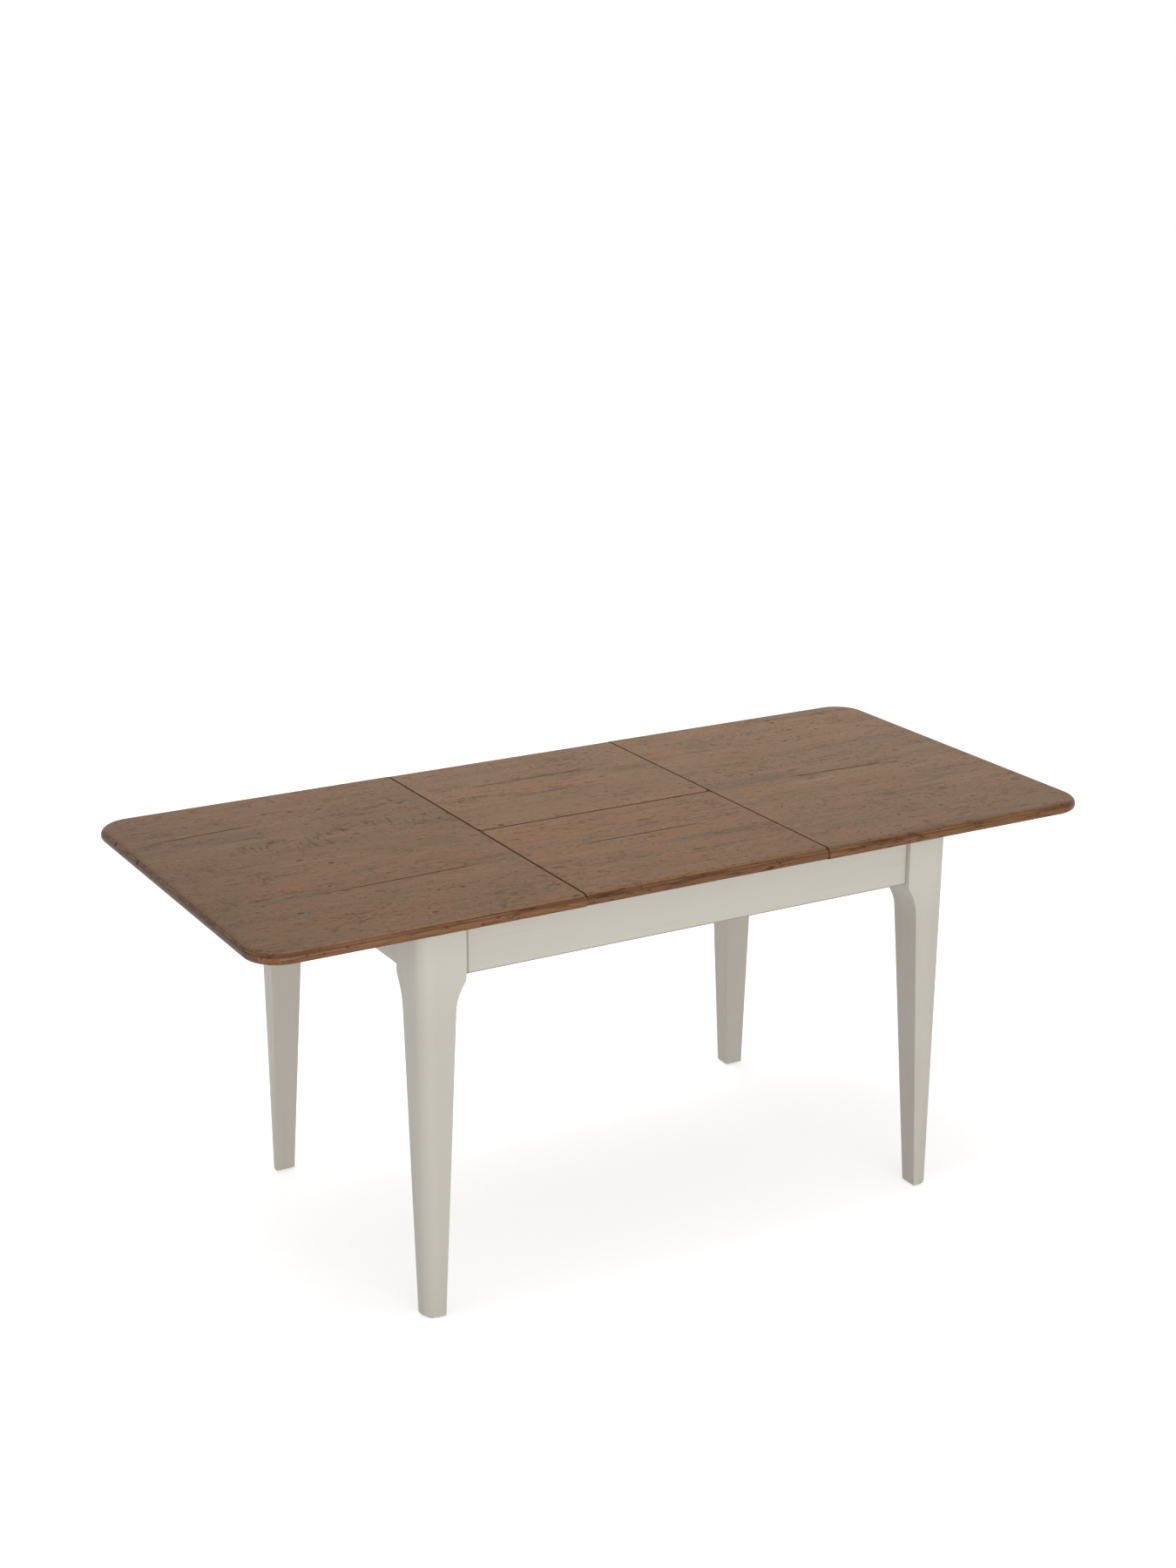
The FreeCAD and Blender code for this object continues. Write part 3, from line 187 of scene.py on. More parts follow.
tickWork = {"strokes": ((124.0, 31.0, 31.0), 2.0, 0.5, 0.25), "clumps": ((17.0, 30.0, 30.0), 2.0),
            "rim": (0.72, 1.12, 1.0, 0.0), "strokeRamp": (0.56, 0.62), "clumpRamp": (0.42, 0.47),
            "greyRamp": (0.36, 0.56)}


# short strokes square to the grain, kept inside a slanted oval patch
def makeTickGroup():
    look = tickWork
    inputs = [("Vector", "v"), ("Centre", "v"), ("Reach", "v"), ("Slope", "f")]
    tree, given, result = newGroup("crossTicks", inputs, [("Mask", "f"), ("Patch", "f")])
    offset = splitAxes(tree, vectorCalc(tree, "SUBTRACT", given["Vector"], given["Centre"]))
    reach = splitAxes(tree, given["Reach"])
    lean = calc(tree, "SUBTRACT", offset[1], product(tree, offset[0], given["Slope"]))
    away = reachOf(tree, calc(tree, "DIVIDE", offset[0], reach[0]), calc(tree, "DIVIDE", lean, reach[1]))
    patch = smoothRamp(tree, away, *look["rim"])
    strokes = drawnCloud(tree, given["Vector"], *look["strokes"])
    clumps = drawnCloud(tree, given["Vector"], *look["clumps"])
    ticks = smoothRamp(tree, strokes, *look["strokeRamp"])
    ticks = product(tree, ticks, smoothRamp(tree, clumps, *look["clumpRamp"]), patch)
    feed(tree, result["Mask"], ticks)
    feed(tree, result["Patch"], product(tree, smoothRamp(tree, clumps, *look["greyRamp"]), patch))
    return tree


patchWork = {"ragged": ((16.0, 62.0, 62.0), 4.0, 0.65), "tear": 1.5, "rim": (0.35, 1.0, 1.0, 0.0)}


# a soft oval patch with a ragged rim: distance from the centre in shares of its reach, disturbed by noise
def makePatchGroup():
    look = patchWork
    inputs = [("Vector", "v"), ("Centre", "v"), ("Reach", "v")]
    tree, given, result = newGroup("wornPatch", inputs, [("Mask", "f")])
    offset = vectorCalc(tree, "SUBTRACT", given["Vector"], given["Centre"])
    axes = splitAxes(tree, vectorCalc(tree, "DIVIDE", offset, given["Reach"]))
    ragged = drawnCloud(tree, given["Vector"], *look["ragged"])
    away = calc(tree, "ADD", reachOf(tree, axes[0], axes[1]), look["tear"] / 2)
    away = calc(tree, "MULTIPLY_ADD", ragged, -look["tear"], away)
    feed(tree, result["Mask"], smoothRamp(tree, away, *look["rim"]))
    return tree


pitWork = {"ragged": (260.0, 2.0), "tear": 0.16, "stretch": (0.6, 1.0, 1.0), "least": 0.15, "rim": 0.05}


# small hollows: cells of a Voronoi pattern, some of them holding a ragged dark dot
def makePitGroup():
    look = pitWork
    inputs = [("Vector", "v"), ("Scale", "f"), ("Size", "f"), ("Rarity", "f")]
    tree, given, result = newGroup("wormPits", inputs, [("Mask", "f")])
    cells = put(tree, "ShaderNodeTexVoronoi", feature="F1")
    feed(tree, cells.inputs["Vector"], vectorCalc(tree, "MULTIPLY", given["Vector"], look["stretch"]))
    feed(tree, cells.inputs["Scale"], given["Scale"])
    chance = splitAxes(tree, cells.outputs["Color"])
    ragged = cloud(tree, given["Vector"], *look["ragged"])
    distance = calc(tree, "MULTIPLY_ADD", ragged, look["tear"], cells.outputs["Distance"])
    size = calc(tree, "MULTIPLY_ADD", chance[1], given["Size"], look["least"])
    dot = smoothRamp(tree, distance, size, calc(tree, "ADD", size, look["rim"]), 1.0, 0.0)
    feed(tree, result["Mask"], product(tree, dot, calc(tree, "GREATER_THAN", chance[0], given["Rarity"])))
    return tree


grainField = makeGrainGroup()
jointLine = makeLineGroup()
crossTicks = makeTickGroup()
wornPatch = makePatchGroup()
wormPits = makePitGroup()
print("shader groups ready")

# colours, constants, shares of one stain in another, then noise and ramps; the level of the top and the ramps
# of the edge, from the painted sheen to the underside, are in metres, the ramps as depths below the top
topWood = {
    "brown": (0.149, 0.078, 0.0315, 1), "pale": (0.185, 0.091, 0.0345, 1), "warm": (0.202, 0.081, 0.020, 1),
    "dark": (0.043, 0.021, 0.008, 1), "joint": (0.056, 0.024, 0.008, 1), "fleck": (0.216, 0.112, 0.045, 1),
    "chalky": (0.300, 0.190, 0.110, 1), "greyed": (0.090, 0.067, 0.031, 1), "under": (0.190, 0.098, 0.046, 1),
    "edge": (0.214, 0.094, 0.037, 1), "edgeDark": (0.042, 0.018, 0.009, 1),
    "paintedSheen": (0.270, 0.165, 0.100, 1), "endGrain": (0.125, 0.068, 0.033, 1),
    "grain": (1.2, 14.0, 14.0), "level": 0.75, "coatRough": 0.26, "specular": 0.02, "bump": (0.3, 0.0006),
    "fibreRelief": 0.2, "streakRelief": 0.4, "wornRough": 0.1,
    "greyShare": 0.62, "smallPits": 0.7, "poreShare": 0.75, "trackShare": 0.5, "hollowShare": 0.70,
    "jointShare": 0.9, "plainBelow": 0.85, "filledBelow": 0.8,
    "poreSpread": 0.34, "poreLimits": (0.785, 0.84),
    "pits": ({"Scale": 34.0, "Size": 0.06, "Rarity": 0.78}, {"Scale": 74.0, "Size": 0.10, "Rarity": 0.68}),
    "noise": {
        "mottle": ((11.0, 34.0, 34.0), 3.0, 0.6, 0.6), "specks": ((140.0, 100.0, 100.0), 2.0, 0.6, 0.5),
        "gathered": ((9.0, 26.0, 26.0), 3.0), "patchy": ((4.2, 21.0, 21.0), 4.0, 0.6, 0.5),
        "torn": ((20.0, 110.0, 110.0), 3.0, 0.6), "dashes": ((52.0, 210.0, 210.0), 2.0, 0.55, 0.4),
        "thick": ((5.0, 16.0, 16.0), 2.0), "curls": ((44.0, 62.0, 62.0), 1.0, 0.5, 0.8),
        "sparse": ((9.0, 20.0, 20.0), 2.0), "edgeStreak": ((11.0, 170.0, 170.0), 4.0, 0.65),
        "alongEdge": ((7.0, 30.0, 30.0), 3.0),
    },
    "ramps": {
        "bands": (0.3, 0.7), "mottle": (0.50, 0.68, 0.0, 0.38), "streaks": (0.55, 0.80, 0.0, 0.20),
        "flecks": (0.44, 0.26, 0.0, 0.36), "fibres": (0.3, 0.7, 0.86, 1.13),
        "gathered": (0.38, 0.62, 0.25, 1.0), "chalk": (0.60, 0.72, 0.0, 0.36),
        "soot": (0.43, 0.30, 0.0, 0.78), "patchy": (0.53, 0.68), "torn": (0.34, 0.58),
        "tracks": (0.022, 0.045, 1.0, 0.0), "sparse": (0.58, 0.63),
        "gloss": (0.3, 0.75, 0.40, 0.56), "lacquer": (0.0, 1.0, 0.33, 0.0264),
        "endFace": (0.836, 0.848), "edgeStreak": (0.52, 0.70),
        "arrisBandBreaks": (0.3, 0.6, 0.22, 0.55), "highlightBreaks": (0.56, 0.42, 0.0, 0.55),
        "sheenIn": (0.0001, 0.0006), "sheenOut": (0.0018, 0.0024, 0.10, 0.0), "edge": (0.0019, 0.0026),
        "arrisIn": (0.0020, 0.0028), "arrisOut": (0.0078, 0.0104, 1.0, 0.0),
        "highlightIn": (0.0042, 0.0048), "highlightOut": (0.0052, 0.0058, 1.0, 0.0),
        "edgeFootShade": (0.0155, 0.0178, 0.0, 0.25), "below": (0.0196, 0.0206),
    },
}


# stained boards: streaks, worn grey patches, pits and darker marks over a brown ground
def makeTimberGroup():
    look = topWood
    inputs = [("Vector", "v"), ("Shift", "v"), ("Marks", "f"), ("Greyed", "f"), ("Warmed", "f"),
              ("Tone", "f"), ("EdgeTone", "f")]
    outputs = [("Color", "c"), ("Roughness", "f"), ("Lacquer", "f"), ("Height", "f")]
    tree, given, result = newGroup("rusticTimber", inputs, outputs)
    place = vectorCalc(tree, "ADD", given["Vector"], given["Shift"])

    def noise(name):
        return drawnCloud(tree, place, *look["noise"][name])

    def ramp(value, name):
        return smoothRamp(tree, value, *look["ramps"][name])

    grain = useGroup(tree, grainField, Vector=place, Stretch=look["grain"])
    tone = stain(tree, ramp(grain["Bands"], "bands"), look["brown"], look["pale"])
    warmth = calc(tree, "ADD", ramp(noise("mottle"), "mottle"), given["Warmed"], clamp=True)
    tone = stain(tree, warmth, tone, look["warm"])
    tone = stain(tree, ramp(grain["Streaks"], "streaks"), tone, look["dark"])
    tone = stain(tree, ramp(grain["Streaks"], "flecks"), tone, look["fleck"])
    fibre = ramp(grain["Fibres"], "fibres")
    tone = stain(tree, 1.0, tone, fibre, "MULTIPLY")
    # sanded specks, dark and chalky, a little wider across the grain than along it
    specks, gathered = noise("specks"), ramp(noise("gathered"), "gathered")
    tone = stain(tree, product(tree, ramp(specks, "chalk"), gathered), tone, look["chalky"])
    tone = stain(tree, product(tree, ramp(specks, "soot"), gathered), tone, look["dark"])
    tone = stain(tree, 1.0, tone, calc(tree, "ADD", given["Tone"], 1.0), "MULTIPLY")
    # worn patches that the stain left grey, torn along the grain
    worn = product(tree, ramp(noise("patchy"), "patchy"), ramp(noise("torn"), "torn"))
    worn = largest(tree, worn, given["Greyed"])
    tone = stain(tree, product(tree, worn, look["greyShare"]), tone, look["greyed"])
    # open pores: short dark dashes, thick in some places and missing in others
    thick = noise("thick")
    limits = [calc(tree, "MULTIPLY_ADD", thick, -look["poreSpread"], limit) for limit in look["poreLimits"]]
    pores = smoothRamp(tree, noise("dashes"), *limits)
    # worm tracks: thin curls where a noise crosses its middle value, in sparse clusters
    tracks = ramp(awayFrom(tree, noise("curls"), 0.5), "tracks")
    tracks = product(tree, tracks, ramp(noise("sparse"), "sparse"))
    large, small = (useGroup(tree, wormPits, Vector=place, **pit)["Mask"] for pit in look["pits"])
    pits = largest(tree, large, product(tree, small, look["smallPits"]))
    # the edge: lighter orange wood under a darker arris band, partly darker stain and partly painted shade,
    # with a pale painted sheen where the round starts
    axes = splitAxes(tree, given["Vector"])
    depth = calc(tree, "SUBTRACT", look["level"], axes[2])
    # painted sheen: a pale band where the round of the edge starts, standing in for the reflection there
    tone = stain(tree, product(tree, ramp(depth, "sheenIn"), ramp(depth, "sheenOut")), tone, look["paintedSheen"])
    edge = ramp(depth, "edge")
    endFace = ramp(calc(tree, "ABSOLUTE", axes[0]), "endFace")
    edgeTone = stain(tree, endFace, look["edge"], look["endGrain"])
    edgeTone = stain(tree, ramp(noise("edgeStreak"), "edgeStreak"), edgeTone, look["edgeDark"])
    edgeTone = stain(tree, 1.0, edgeTone, product(tree, fibre, given["EdgeTone"]), "MULTIPLY")
    tone = stain(tree, edge, tone, edgeTone)
    along = noise("alongEdge")
    # a dark band under the upper arris, broken along the edge: partly darker stain, partly painted shade of
    # the round
    arris = product(tree, ramp(depth, "arrisIn"), ramp(depth, "arrisOut"), ramp(along, "arrisBandBreaks"))
    tone = stain(tree, arris, tone, look["edgeDark"])
    # a thin painted highlight line in the dark band, here and there
    line = product(tree, ramp(depth, "highlightIn"), ramp(depth, "highlightOut"), ramp(along, "highlightBreaks"))
    tone = stain(tree, line, tone, look["paintedSheen"])
    # painted shade: darker towards the lower round of the edge, which faces down
    tone = stain(tree, ramp(depth, "edgeFootShade"), tone, look["edgeDark"])
    # the underside has one thin, plain coat
    below = ramp(depth, "below")
    plain = stain(tree, 1.0, look["under"], fibre, "MULTIPLY")
    tone = stain(tree, product(tree, below, look["plainBelow"]), tone, plain)
    tracks = product(tree, tracks, calc(tree, "SUBTRACT", 1.0, edge))
    pits = product(tree, pits, calc(tree, "SUBTRACT", 1.0, product(tree, below, look["filledBelow"])))
    hollows = largest(tree, pits, product(tree, pores, look["poreShare"]),
                      product(tree, tracks, look["trackShare"]))
    hollows = product(tree, hollows, look["hollowShare"])
    tone = stain(tree, hollows, tone, look["dark"])
    # dark joints and cracks, with the painted shade of the board seams
    joints = product(tree, given["Marks"], look["jointShare"])
    tone = stain(tree, joints, tone, look["joint"])
    marks = largest(tree, hollows, joints)
    feed(tree, result["Color"], tone)
    gloss = ramp(grain["Streaks"], "gloss")
    feed(tree, result["Roughness"], calc(tree, "MULTIPLY_ADD", worn, look["wornRough"], gloss))
    # the lacquer has worn out of the hollows and joints
    feed(tree, result["Lacquer"], ramp(marks, "lacquer"))
    relief = product(tree, grain["Streaks"], look["streakRelief"])
    relief = calc(tree, "MULTIPLY_ADD", grain["Fibres"], look["fibreRelief"], relief)
    feed(tree, result["Height"], calc(tree, "SUBTRACT", relief, marks))
    return tree


rusticTimber = makeTimberGroup()

# each dark line: x start, x end, y at the start, slope, half width, and how much lighter the wood behind is;
# each pale line: the same without the last;
# each seam: axis, place and half width of a dark band along it, partly the joint's own colour and partly
# painted shade of the gap;
# each grey or warm patch: x, y, reach along x, reach along y and strength; ticks: centre, reach and slope;
# each painted haze fade, a change of tone across a board that stands in for the reflection on the lacquer:
# axis, where it starts, where it ends, and the change of tone at both
panelWood = {
    "top_left": {
        "shift": (3.1, 0.37, 1.0), "tone": -0.12, "warmth": 0.26, "edgeTone": 1.0,
        "seams": [(0, -0.2500, 0.0026)],
        "lines": [(-0.805, -0.59, 0.2215, 0.057, 0.0030, 0.03), (-0.69, -0.59, 0.1635, 0.040, 0.0016, 0.0),
                  (-0.66, -0.32, -0.1708, 0.024, 0.0028, -0.02), (-0.775, -0.71, -0.1500, 0.0, 0.0050, 0.0)],
        "paleLines": [(-0.67, -0.46, -0.0065, 0.010, 0.0026)],
        "greys": [(-0.67, 0.187, 0.15, 0.040, 0.75), (-0.42, 0.225, 0.06, 0.020, 0.6),
                  (-0.275, 0.235, 0.035, 0.030, 0.7), (-0.335, -0.012, 0.06, 0.034, 0.7),
                  (-0.69, -0.168, 0.07, 0.014, 0.8), (-0.785, -0.122, 0.05, 0.013, 0.8),
                  (-0.614, 0.126, 0.045, 0.028, 0.8), (-0.53, -0.235, 0.07, 0.016, 0.6)],
        "warms": [(-0.70, -0.115, 0.14, 0.040, 0.7), (-0.775, -0.275, 0.09, 0.070, 0.6),
                  (-0.53, -0.065, 0.22, 0.034, 0.6), (-0.56, -0.31, 0.24, 0.085, 0.6),
                  (-0.36, -0.10, 0.13, 0.040, 0.5)],
        "ticks": ((-0.475, 0.110, 0.75), (0.29, 0.047, 1.0), 0.08),
        "paintedHazeFades": [(0, -0.85, -0.50, -0.09, 0.0), (0, -0.85, -0.66, -0.05, 0.0)],
    },
    "leaf_rear": {
        "shift": (-5.2, 2.1, 4.0), "tone": 0.02, "warmth": 0.10, "edgeTone": 0.84,
        "seams": [(0, -0.2490, 0.0026), (0, 0.2490, 0.0020), (1, 0.0005, 0.0021)],
        "lines": [(-0.160, 0.13, 0.2435, 0.010, 0.0026, 0.03), (-0.12, 0.07, 0.1520, 0.006, 0.0014, 0.0)],
        "paleLines": [],
        "greys": [(-0.183, 0.262, 0.06, 0.020, 0.8), (0.066, 0.242, 0.10, 0.014, 0.7),
                  (0.186, 0.208, 0.07, 0.026, 0.8), (-0.10, 0.148, 0.11, 0.011, 0.6)],
        "warms": [(0.012, 0.193, 0.15, 0.032, 0.7), (-0.20, 0.190, 0.05, 0.020, 0.6)],
        "paintedHazeFades": [],
    },
    "leaf_front": {
        "shift": (8.3, -1.7, 2.4), "tone": -0.05, "warmth": 0.38, "edgeTone": 0.82,
        "seams": [(0, -0.2490, 0.0026), (0, 0.2490, 0.0020), (1, -0.0005, 0.0021)],
        "lines": [(-0.135, 0.155, -0.1580, 0.0, 0.0028, 0.04)],
        "paleLines": [],
        "greys": [(0.125, -0.2220, 0.15, 0.018, 1.0), (-0.03, -0.080, 0.06, 0.010, 0.6)],
        "warms": [(-0.115, -0.065, 0.15, 0.055, 0.6)],
        "paintedHazeFades": [(0, 0.05, 0.25, 0.0, -0.05)],
    },
    "top_right": {
        "shift": (-9.6, 5.3, 7.0), "tone": 0.045, "warmth": 0.02, "edgeTone": 0.94,
        "seams": [(0, 0.2500, 0.0021)],
        "lines": [(0.425, 0.665, -0.0005, -0.034, 0.0032, -0.02)],
        "paleLines": [(0.57, 0.77, -0.170, -0.010, 0.0028), (0.40, 0.52, -0.040, 0.0, 0.0070)],
        "greys": [(0.388, 0.018, 0.07, 0.030, 0.9), (0.665, 0.010, 0.08, 0.013, 0.7)],
        "warms": [(0.31, 0.265, 0.06, 0.030, 0.6), (0.33, -0.020, 0.05, 0.030, 0.5)],
        "paintedHazeFades": [(1, -0.40, -0.12, -0.13, 0.0), (1, 0.0, 0.38, 0.0, 0.075)],
    },
}
# depths where surface marks end and where they start to fade, half width of the step of tone at a line, and
# shares of the marks
panelWork = {"surface": (0.006, 0.002), "stepHalf": 0.004, "paleShare": 0.30, "tickShare": 0.60,
             "tickGrey": 0.55, "seamCore": 0.5}


# one board of the top: its own lines, patches, seams and fades over the stained timber
def makePanelWood(name, look):
    work = panelWork
    material, tree, shader = newMaterial("stainedWood_" + name)
    place = objectCoords(tree)
    axes = splitAxes(tree, place)

    def lineMask(start, end, level, slope, width):
        sizes = {"Start": start, "End": end, "Level": level, "Slope": slope, "Width": width}
        return useGroup(tree, jointLine, Vector=place, **sizes)["Mask"]

    def patchMask(alongX, alongY, reachX, reachY, strength):
        centre, reach = (alongX, alongY, 0.0), (reachX, reachY, 1.0)
        patch = useGroup(tree, wornPatch, Vector=place, Centre=centre, Reach=reach)
        return product(tree, patch["Mask"], strength)

    marks, tone = 0.0, look["tone"]
    # painted reflection: the tone fades across the board
    for axis, *fade in look["paintedHazeFades"]:
        tone = calc(tree, "ADD", tone, smoothRamp(tree, axes[axis], *fade))
    for start, end, level, slope, width, step in look["lines"]:
        marks = largest(tree, marks, lineMask(start, end, level, slope, width))
        near, far = level - work["stepHalf"], level + work["stepHalf"]
        tone = calc(tree, "ADD", tone, smoothRamp(tree, axes[1], near, far, 0.0, step))
    for line in look["paleLines"]:
        tone = calc(tree, "MULTIPLY_ADD", lineMask(*line), work["paleShare"], tone)
    greyed = largest(tree, 0.0, *(patchMask(*patch) for patch in look["greys"]))
    warmed = largest(tree, look["warmth"], *(patchMask(*patch) for patch in look["warms"]))
    shallow = smoothRamp(tree, axes[2], *(topWood["level"] - depth for depth in work["surface"]))
    if "ticks" in look:
        centre, reach, slope = look["ticks"]
        ticks = useGroup(tree, crossTicks, Vector=place, Centre=centre, Reach=reach, Slope=slope)
        marks = largest(tree, marks, product(tree, ticks["Mask"], shallow, work["tickShare"]))
        greyed = largest(tree, greyed, product(tree, ticks["Patch"], work["tickGrey"]))
    # the seams: a dark band along each gap between the boards, partly joint colour and partly painted shade
    # of the gap
    for axis, middle, width in look["seams"]:
        away = awayFrom(tree, axes[axis], middle)
        seam = smoothRamp(tree, away, width * work["seamCore"], width, 1.0, 0.0)
        marks = largest(tree, marks, product(tree, seam, shallow))
    timber = useGroup(tree, rusticTimber, Vector=place, Shift=look["shift"], Marks=marks, Greyed=greyed,
                      Warmed=warmed, Tone=tone, EdgeTone=look["edgeTone"])
    feed(tree, shader.inputs["Base Color"], timber["Color"])
    feed(tree, shader.inputs["Roughness"], timber["Roughness"])
    feed(tree, shader.inputs["Coat Weight"], timber["Lacquer"])
    shader.inputs["Coat Roughness"].default_value = topWood["coatRough"]
    shader.inputs["Specular IOR Level"].default_value = topWood["specular"]
    bumpFrom(tree, shader, timber["Height"], *topWood["bump"])
    return material


framePaint = {
    "color": (0.560, 0.532, 0.473, 1), "thin": (0.532, 0.498, 0.430, 1), "paintedShade": (0.215, 0.195, 0.160, 1),
    "cover": (5.0, 4.0, 0.6), "coverRamp": (0.35, 0.7), "thinRamp": (0.35, 0.75),
    "gloss": (0.3, 0.7, 0.42, 0.56), "lineCore": 0.4, "lineShare": 0.7,
    "specular": 0.35, "bump": (0.12, 0.0004),
}
# direction of the brush, the thin dark lines of painted shade (axis, place and half width), and for the legs
# a darker coat of their own, with the heights between which it grows as light as on the aprons, painted light
# on the leg tops under the top
paintWork = {
    "leg": {"stroke": (15.0, 15.0, 0.6), "lines": [], "paintedLightRise": (0.52, 0.66),
            "color": (0.522, 0.489, 0.436, 1), "thin": (0.497, 0.459, 0.398, 1)},
    "long": {"stroke": (0.6, 15.0, 15.0),
             "lines": [(0, -0.4525, 0.0022), (0, 0.4600, 0.0022), (2, 0.6305, 0.0030)]},
    "end": {"stroke": (15.0, 0.6, 15.0),
            "lines": [(1, -0.2490, 0.0022), (1, 0.2700, 0.0022), (2, 0.6305, 0.0030)]},
}


# satin paint: faint strokes of the brush along the piece, thinner cover here and there, and thin lines of
# painted shade at the joints and the lower edge
def makeBrushedPaint(name, work):
    look = {**framePaint, **work}
    material, tree, shader = newMaterial("paintedWood_" + name)
    place = objectCoords(tree)
    axes = splitAxes(tree, place)
    grain = useGroup(tree, grainField, Vector=place, Stretch=look["stroke"])
    cover = smoothRamp(tree, cloud(tree, place, *look["cover"]), *look["coverRamp"])
    thin = product(tree, cover, smoothRamp(tree, grain["Streaks"], *look["thinRamp"]))
    color = stain(tree, thin, look["color"], look["thin"])
    # painted light: the legs' darker coat rises to the aprons' tone at their tops, against the shade under
    # the top
    if "paintedLightRise" in look:
        color = stain(tree, smoothRamp(tree, axes[2], *look["paintedLightRise"]), color, framePaint["color"])
    # painted shade: thin dark lines where the legs meet the aprons and along the lower edge of the aprons
    for axis, middle, width in look["lines"]:
        away = awayFrom(tree, axes[axis], middle)
        line = smoothRamp(tree, away, width * look["lineCore"], width, look["lineShare"], 0.0)
        color = stain(tree, line, color, look["paintedShade"])
    feed(tree, shader.inputs["Base Color"], color)
    feed(tree, shader.inputs["Roughness"], smoothRamp(tree, grain["Streaks"], *look["gloss"]))
    shader.inputs["Specular IOR Level"].default_value = look["specular"]
    bumpFrom(tree, shader, grain["Streaks"], *look["bump"])
    return material


beech = {
    "pale": (0.60, 0.41, 0.245, 1), "deep": (0.49, 0.31, 0.170, 1), "fleck": (0.30, 0.17, 0.085, 1),
    "alongX": (1.6, 22.0, 22.0), "alongY": (22.0, 1.6, 22.0), "fleckFineness": 14.0, "fleckDetail": 1.0,
    "bandRamp": (0.35, 0.68), "streakRamp": (0.55, 0.8, 0.0, 0.5), "fleckRamp": (0.62, 0.72, 0.0, 0.4),
    "gloss": (0.3, 0.7, 0.5, 0.66), "bump": (0.2, 0.0003),
}


# plain beech: pale and deeper bands with short dark flecks in the grain
def makeBeech(name, stretch):
    look = beech
    material, tree, shader = newMaterial(name)
    place = objectCoords(tree)
    grain = useGroup(tree, grainField, Vector=place, Stretch=stretch)
    color = stain(tree, smoothRamp(tree, grain["Bands"], *look["bandRamp"]), look["pale"], look["deep"])
    color = stain(tree, smoothRamp(tree, grain["Streaks"], *look["streakRamp"]), color, look["deep"])
    finer = tuple(value * look["fleckFineness"] for value in stretch)
    flecks = drawnCloud(tree, place, finer, look["fleckDetail"])
    color = stain(tree, smoothRamp(tree, flecks, *look["fleckRamp"]), color, look["fleck"])
    feed(tree, shader.inputs["Base Color"], color)
    feed(tree, shader.inputs["Roughness"], smoothRamp(tree, grain["Streaks"], *look["gloss"]))
    bumpFrom(tree, shader, grain["Fibres"], *look["bump"])
    return material


metals = {
    "zincSteel": {"light": (0.66, 0.66, 0.64, 1), "dull": (0.46, 0.46, 0.45, 1), "metal": 1.0,
                  "gloss": (0.3, 0.7, 0.28, 0.48)},
    "darkBronze": {"light": (0.095, 0.060, 0.034, 1), "dull": (0.045, 0.030, 0.020, 1), "metal": 0.45,
                   "gloss": (0.3, 0.7, 0.52, 0.68)},
}
metalWork = {"cloudy": (120.0, 3.0, 0.6), "cloudRamp": (0.35, 0.7), "scratch": ((300.0, 2600.0, 2600.0), 2.0),
             "bump": (0.1, 0.0001)}


# plated or bronzed metal: cloudy plating with a fine scratched sheen
def makeMetal(name):
    look = {**metalWork, **metals[name]}
    material, tree, shader = newMaterial(name)
    place = objectCoords(tree)
    cloudy = smoothRamp(tree, cloud(tree, place, *look["cloudy"]), *look["cloudRamp"])
    scratch = drawnCloud(tree, place, *look["scratch"])
    feed(tree, shader.inputs["Base Color"], stain(tree, cloudy, look["light"], look["dull"]))
    feed(tree, shader.inputs["Roughness"], smoothRamp(tree, scratch, *look["gloss"]))
    shader.inputs["Metallic"].default_value = look["metal"]
    bumpFrom(tree, shader, scratch, *look["bump"])
    return material


plastics = {
    "glidePlastic": {"plain": (0.045, 0.040, 0.036, 1), "scuffed": (0.085, 0.078, 0.070, 1),
                     "gloss": (0.3, 0.7, 0.55, 0.75)},
    "spacerNylon": {"plain": (0.69, 0.68, 0.64, 1), "scuffed": (0.58, 0.57, 0.53, 1),
                    "gloss": (0.3, 0.7, 0.40, 0.60)},
}
plasticWork = {"moulded": (900.0, 2.0), "scuffs": (160.0, 4.0, 0.65), "scuffRamp": (0.5, 0.7),
               "bump": (0.15, 0.0001)}


# moulded plastic with a fine grain and scuffs
def makePlastic(name):
    look = {**plasticWork, **plastics[name]}
    material, tree, shader = newMaterial(name)
    place = objectCoords(tree)
    moulded = cloud(tree, place, *look["moulded"])
    scuffs = smoothRamp(tree, cloud(tree, place, *look["scuffs"]), *look["scuffRamp"])
    feed(tree, shader.inputs["Base Color"], stain(tree, scuffs, look["plain"], look["scuffed"]))
    feed(tree, shader.inputs["Roughness"], smoothRamp(tree, moulded, *look["gloss"]))
    bumpFrom(tree, shader, moulded, *look["bump"])
    return material


legPaint, longPaint, endPaint = (makeBrushedPaint(name, work) for name, work in paintWork.items())
beechAlongX = makeBeech("beech_long", beech["alongX"])
beechAlongY = makeBeech("beech_cross", beech["alongY"])
plainFinishes = {"zinc_steel": makeMetal("zincSteel"), "bronze": makeMetal("darkBronze"),
                 "glide_plastic": makePlastic("glidePlastic"), "spacer_plastic": makePlastic("spacerNylon")}
panelMaterials = {name: makePanelWood(name, look) for name, look in panelWood.items()}
print("materials ready:", len(bpy.data.materials))


def finishFor(name, slotName):
    if name in panelMaterials:
        return panelMaterials[name]
    if slotName == "painted_wood":
        if name.startswith("leg_"):
            return legPaint
        return longPaint if name in ("apron_front", "apron_rear") else endPaint
    if slotName == "beech":
        return beechAlongX if name.startswith(("runner", "slide_rail")) else beechAlongY
    return plainFinishes[slotName]


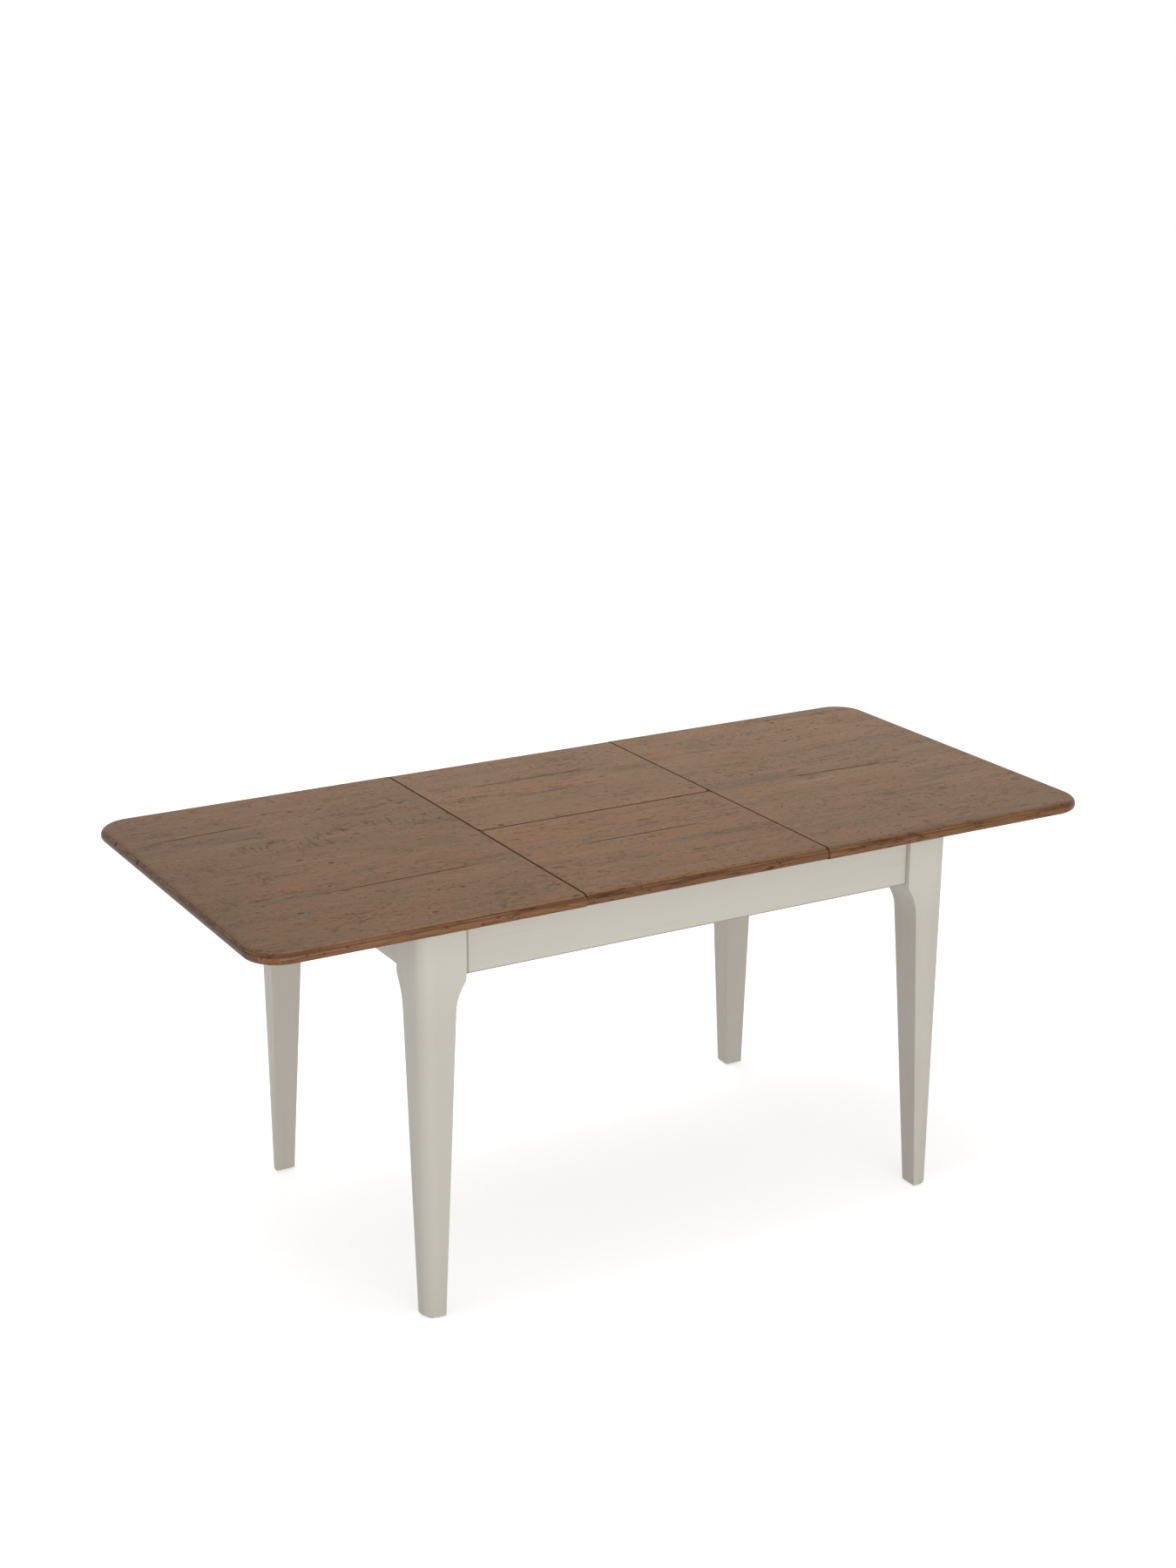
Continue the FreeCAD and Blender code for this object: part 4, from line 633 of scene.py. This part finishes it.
slotOf = {item["node"]: item["material_slot"] for item in frame["record"]["subparts"]}
for name, item in nodes.items():
    item.data.materials.clear()
    item.data.materials.append(finishFor(name, slotOf[name]))
print("finishes set on", len(nodes), "pieces")

stageLook = {
    "floorHalf": 14.0, "floor": (0.86, 0.86, 0.855, 1), "floorDull": (0.82, 0.82, 0.815, 1),
    "speck": (60.0, 2.0), "speckRamp": (0.3, 0.7, 0.0, 0.3), "rough": 0.9, "specular": 0.1,
    "white": (1, 1, 1, 1), "lift": 0.56, "world": 0.54,
}


# one for camera, glossy and transmission rays, and zero for the rest
def seenRays(tree):
    path = put(tree, "ShaderNodeLightPath").outputs
    return largest(tree, path["Is Camera Ray"], path["Is Glossy Ray"], path["Is Transmission Ray"])


# a flat square on the ground, its corners half its side from the middle each way
def makeFloor():
    look = stageLook
    half = look["floorHalf"]
    corners = np.array([(-half, -half, 0), (half, -half, 0), (half, half, 0), (-half, half, 0)])
    mesh = bpy.data.meshes.new("paleFloor")
    mesh.from_pydata(corners.tolist(), [], [(0, 1, 2, 3)])
    floor = bpy.data.objects.new("paleFloor", mesh)
    scene.collection.objects.link(floor)
    material, tree, shader = newMaterial("floorPale")
    speck = smoothRamp(tree, cloud(tree, objectCoords(tree), *look["speck"]), *look["speckRamp"])
    feed(tree, shader.inputs["Base Color"], stain(tree, speck, look["floor"], look["floorDull"]))
    shader.inputs["Roughness"].default_value = look["rough"]
    shader.inputs["Specular IOR Level"].default_value = look["specular"]
    # the camera sees the floor lifted to white, with the shadow kept
    glow = put(tree, "ShaderNodeEmission")
    glow.inputs["Color"].default_value = look["white"]
    feed(tree, glow.inputs["Strength"], product(tree, seenRays(tree), look["lift"]))
    both = put(tree, "ShaderNodeAddShader")
    feed(tree, both.inputs[0], shader.outputs[0])
    feed(tree, both.inputs[1], glow.outputs[0])
    # from below the floor is clear, so that the underside can be seen
    oneSided = put(tree, "ShaderNodeMixShader")
    feed(tree, oneSided.inputs[0], put(tree, "ShaderNodeNewGeometry").outputs["Backfacing"])
    feed(tree, oneSided.inputs[1], both.outputs[0])
    feed(tree, oneSided.inputs[2], put(tree, "ShaderNodeBsdfTransparent").outputs[0])
    feed(tree, tree.nodes["Material Output"].inputs["Surface"], oneSided.outputs[0])
    mesh.materials.append(material)


def makeWorld():
    world = bpy.data.worlds.new("studio")
    scene.world = world
    world.use_nodes = True
    tree = world.node_tree
    ground = tree.nodes["Background"]
    ground.inputs["Color"].default_value = stageLook["white"]
    feed(tree, ground.inputs["Strength"], smoothRamp(tree, seenRays(tree), 0.0, 1.0, stageLook["world"], 1.0))


# soft boxes: place, target, width, height and power
lamps = {
    "frontBox": ((-1.0, -9.0, 1.5), (0.0, 0.0, 0.5), 8.0, 2.8, 330.0),
    "sideBox": ((-8.5, -1.5, 1.5), (0.0, 0.0, 0.5), 5.0, 2.8, 78.0),
    "overBox": ((-0.2, 0.5, 3.8), (0.0, 0.0, 0.5), 3.4, 2.6, 62.0),
}


def makeLamps():
    for name, (spot, target, width, height, power) in lamps.items():
        light = bpy.data.lights.new(name, "AREA")
        light.shape = "RECTANGLE"
        light.size, light.size_y, light.energy = width, height, power
        lamp = bpy.data.objects.new(name, light)
        scene.collection.objects.link(lamp)
        aim = Vector(target) - Vector(spot)
        lamp.matrix_world = Matrix.Translation(spot) @ aim.to_track_quat("-Z", "Y").to_matrix().to_4x4()


# angles in degrees; focal length and image height in pixels of the photograph, sensor height in millimetres
viewpoint = {"place": (-2.1976, -3.8115, 2.1666), "yaw": -29.725, "pitch": 17.235, "roll": 0.063,
             "focal": 2830.2, "imageHeight": 1800, "sensor": 36.0}


# a level camera turned by yaw about the upright, tipped down by pitch, then rolled
def makeCamera():
    yaw, pitch, roll = (math.radians(viewpoint[key]) for key in ("yaw", "pitch", "roll"))
    forward = Vector((-math.sin(yaw) * math.cos(pitch), math.cos(yaw) * math.cos(pitch), -math.sin(pitch)))
    right = Vector((math.cos(yaw), math.sin(yaw), 0.0))
    right = right * math.cos(roll) + right.cross(forward) * math.sin(roll)
    upward = right.cross(forward)
    data = bpy.data.cameras.new("photoView")
    data.sensor_fit = "VERTICAL"
    data.sensor_height = viewpoint["sensor"]
    data.lens = viewpoint["focal"] / viewpoint["imageHeight"] * viewpoint["sensor"]
    camera = bpy.data.objects.new("photoView", data)
    scene.collection.objects.link(camera)
    turn = Matrix((right, upward, -forward)).transposed().to_4x4()
    camera.matrix_world = Matrix.Translation(viewpoint["place"]) @ turn
    scene.camera = camera


makeFloor()
makeWorld()
makeLamps()
makeCamera()
scene.view_settings.view_transform = "Standard"
print("stage, light and camera ready")
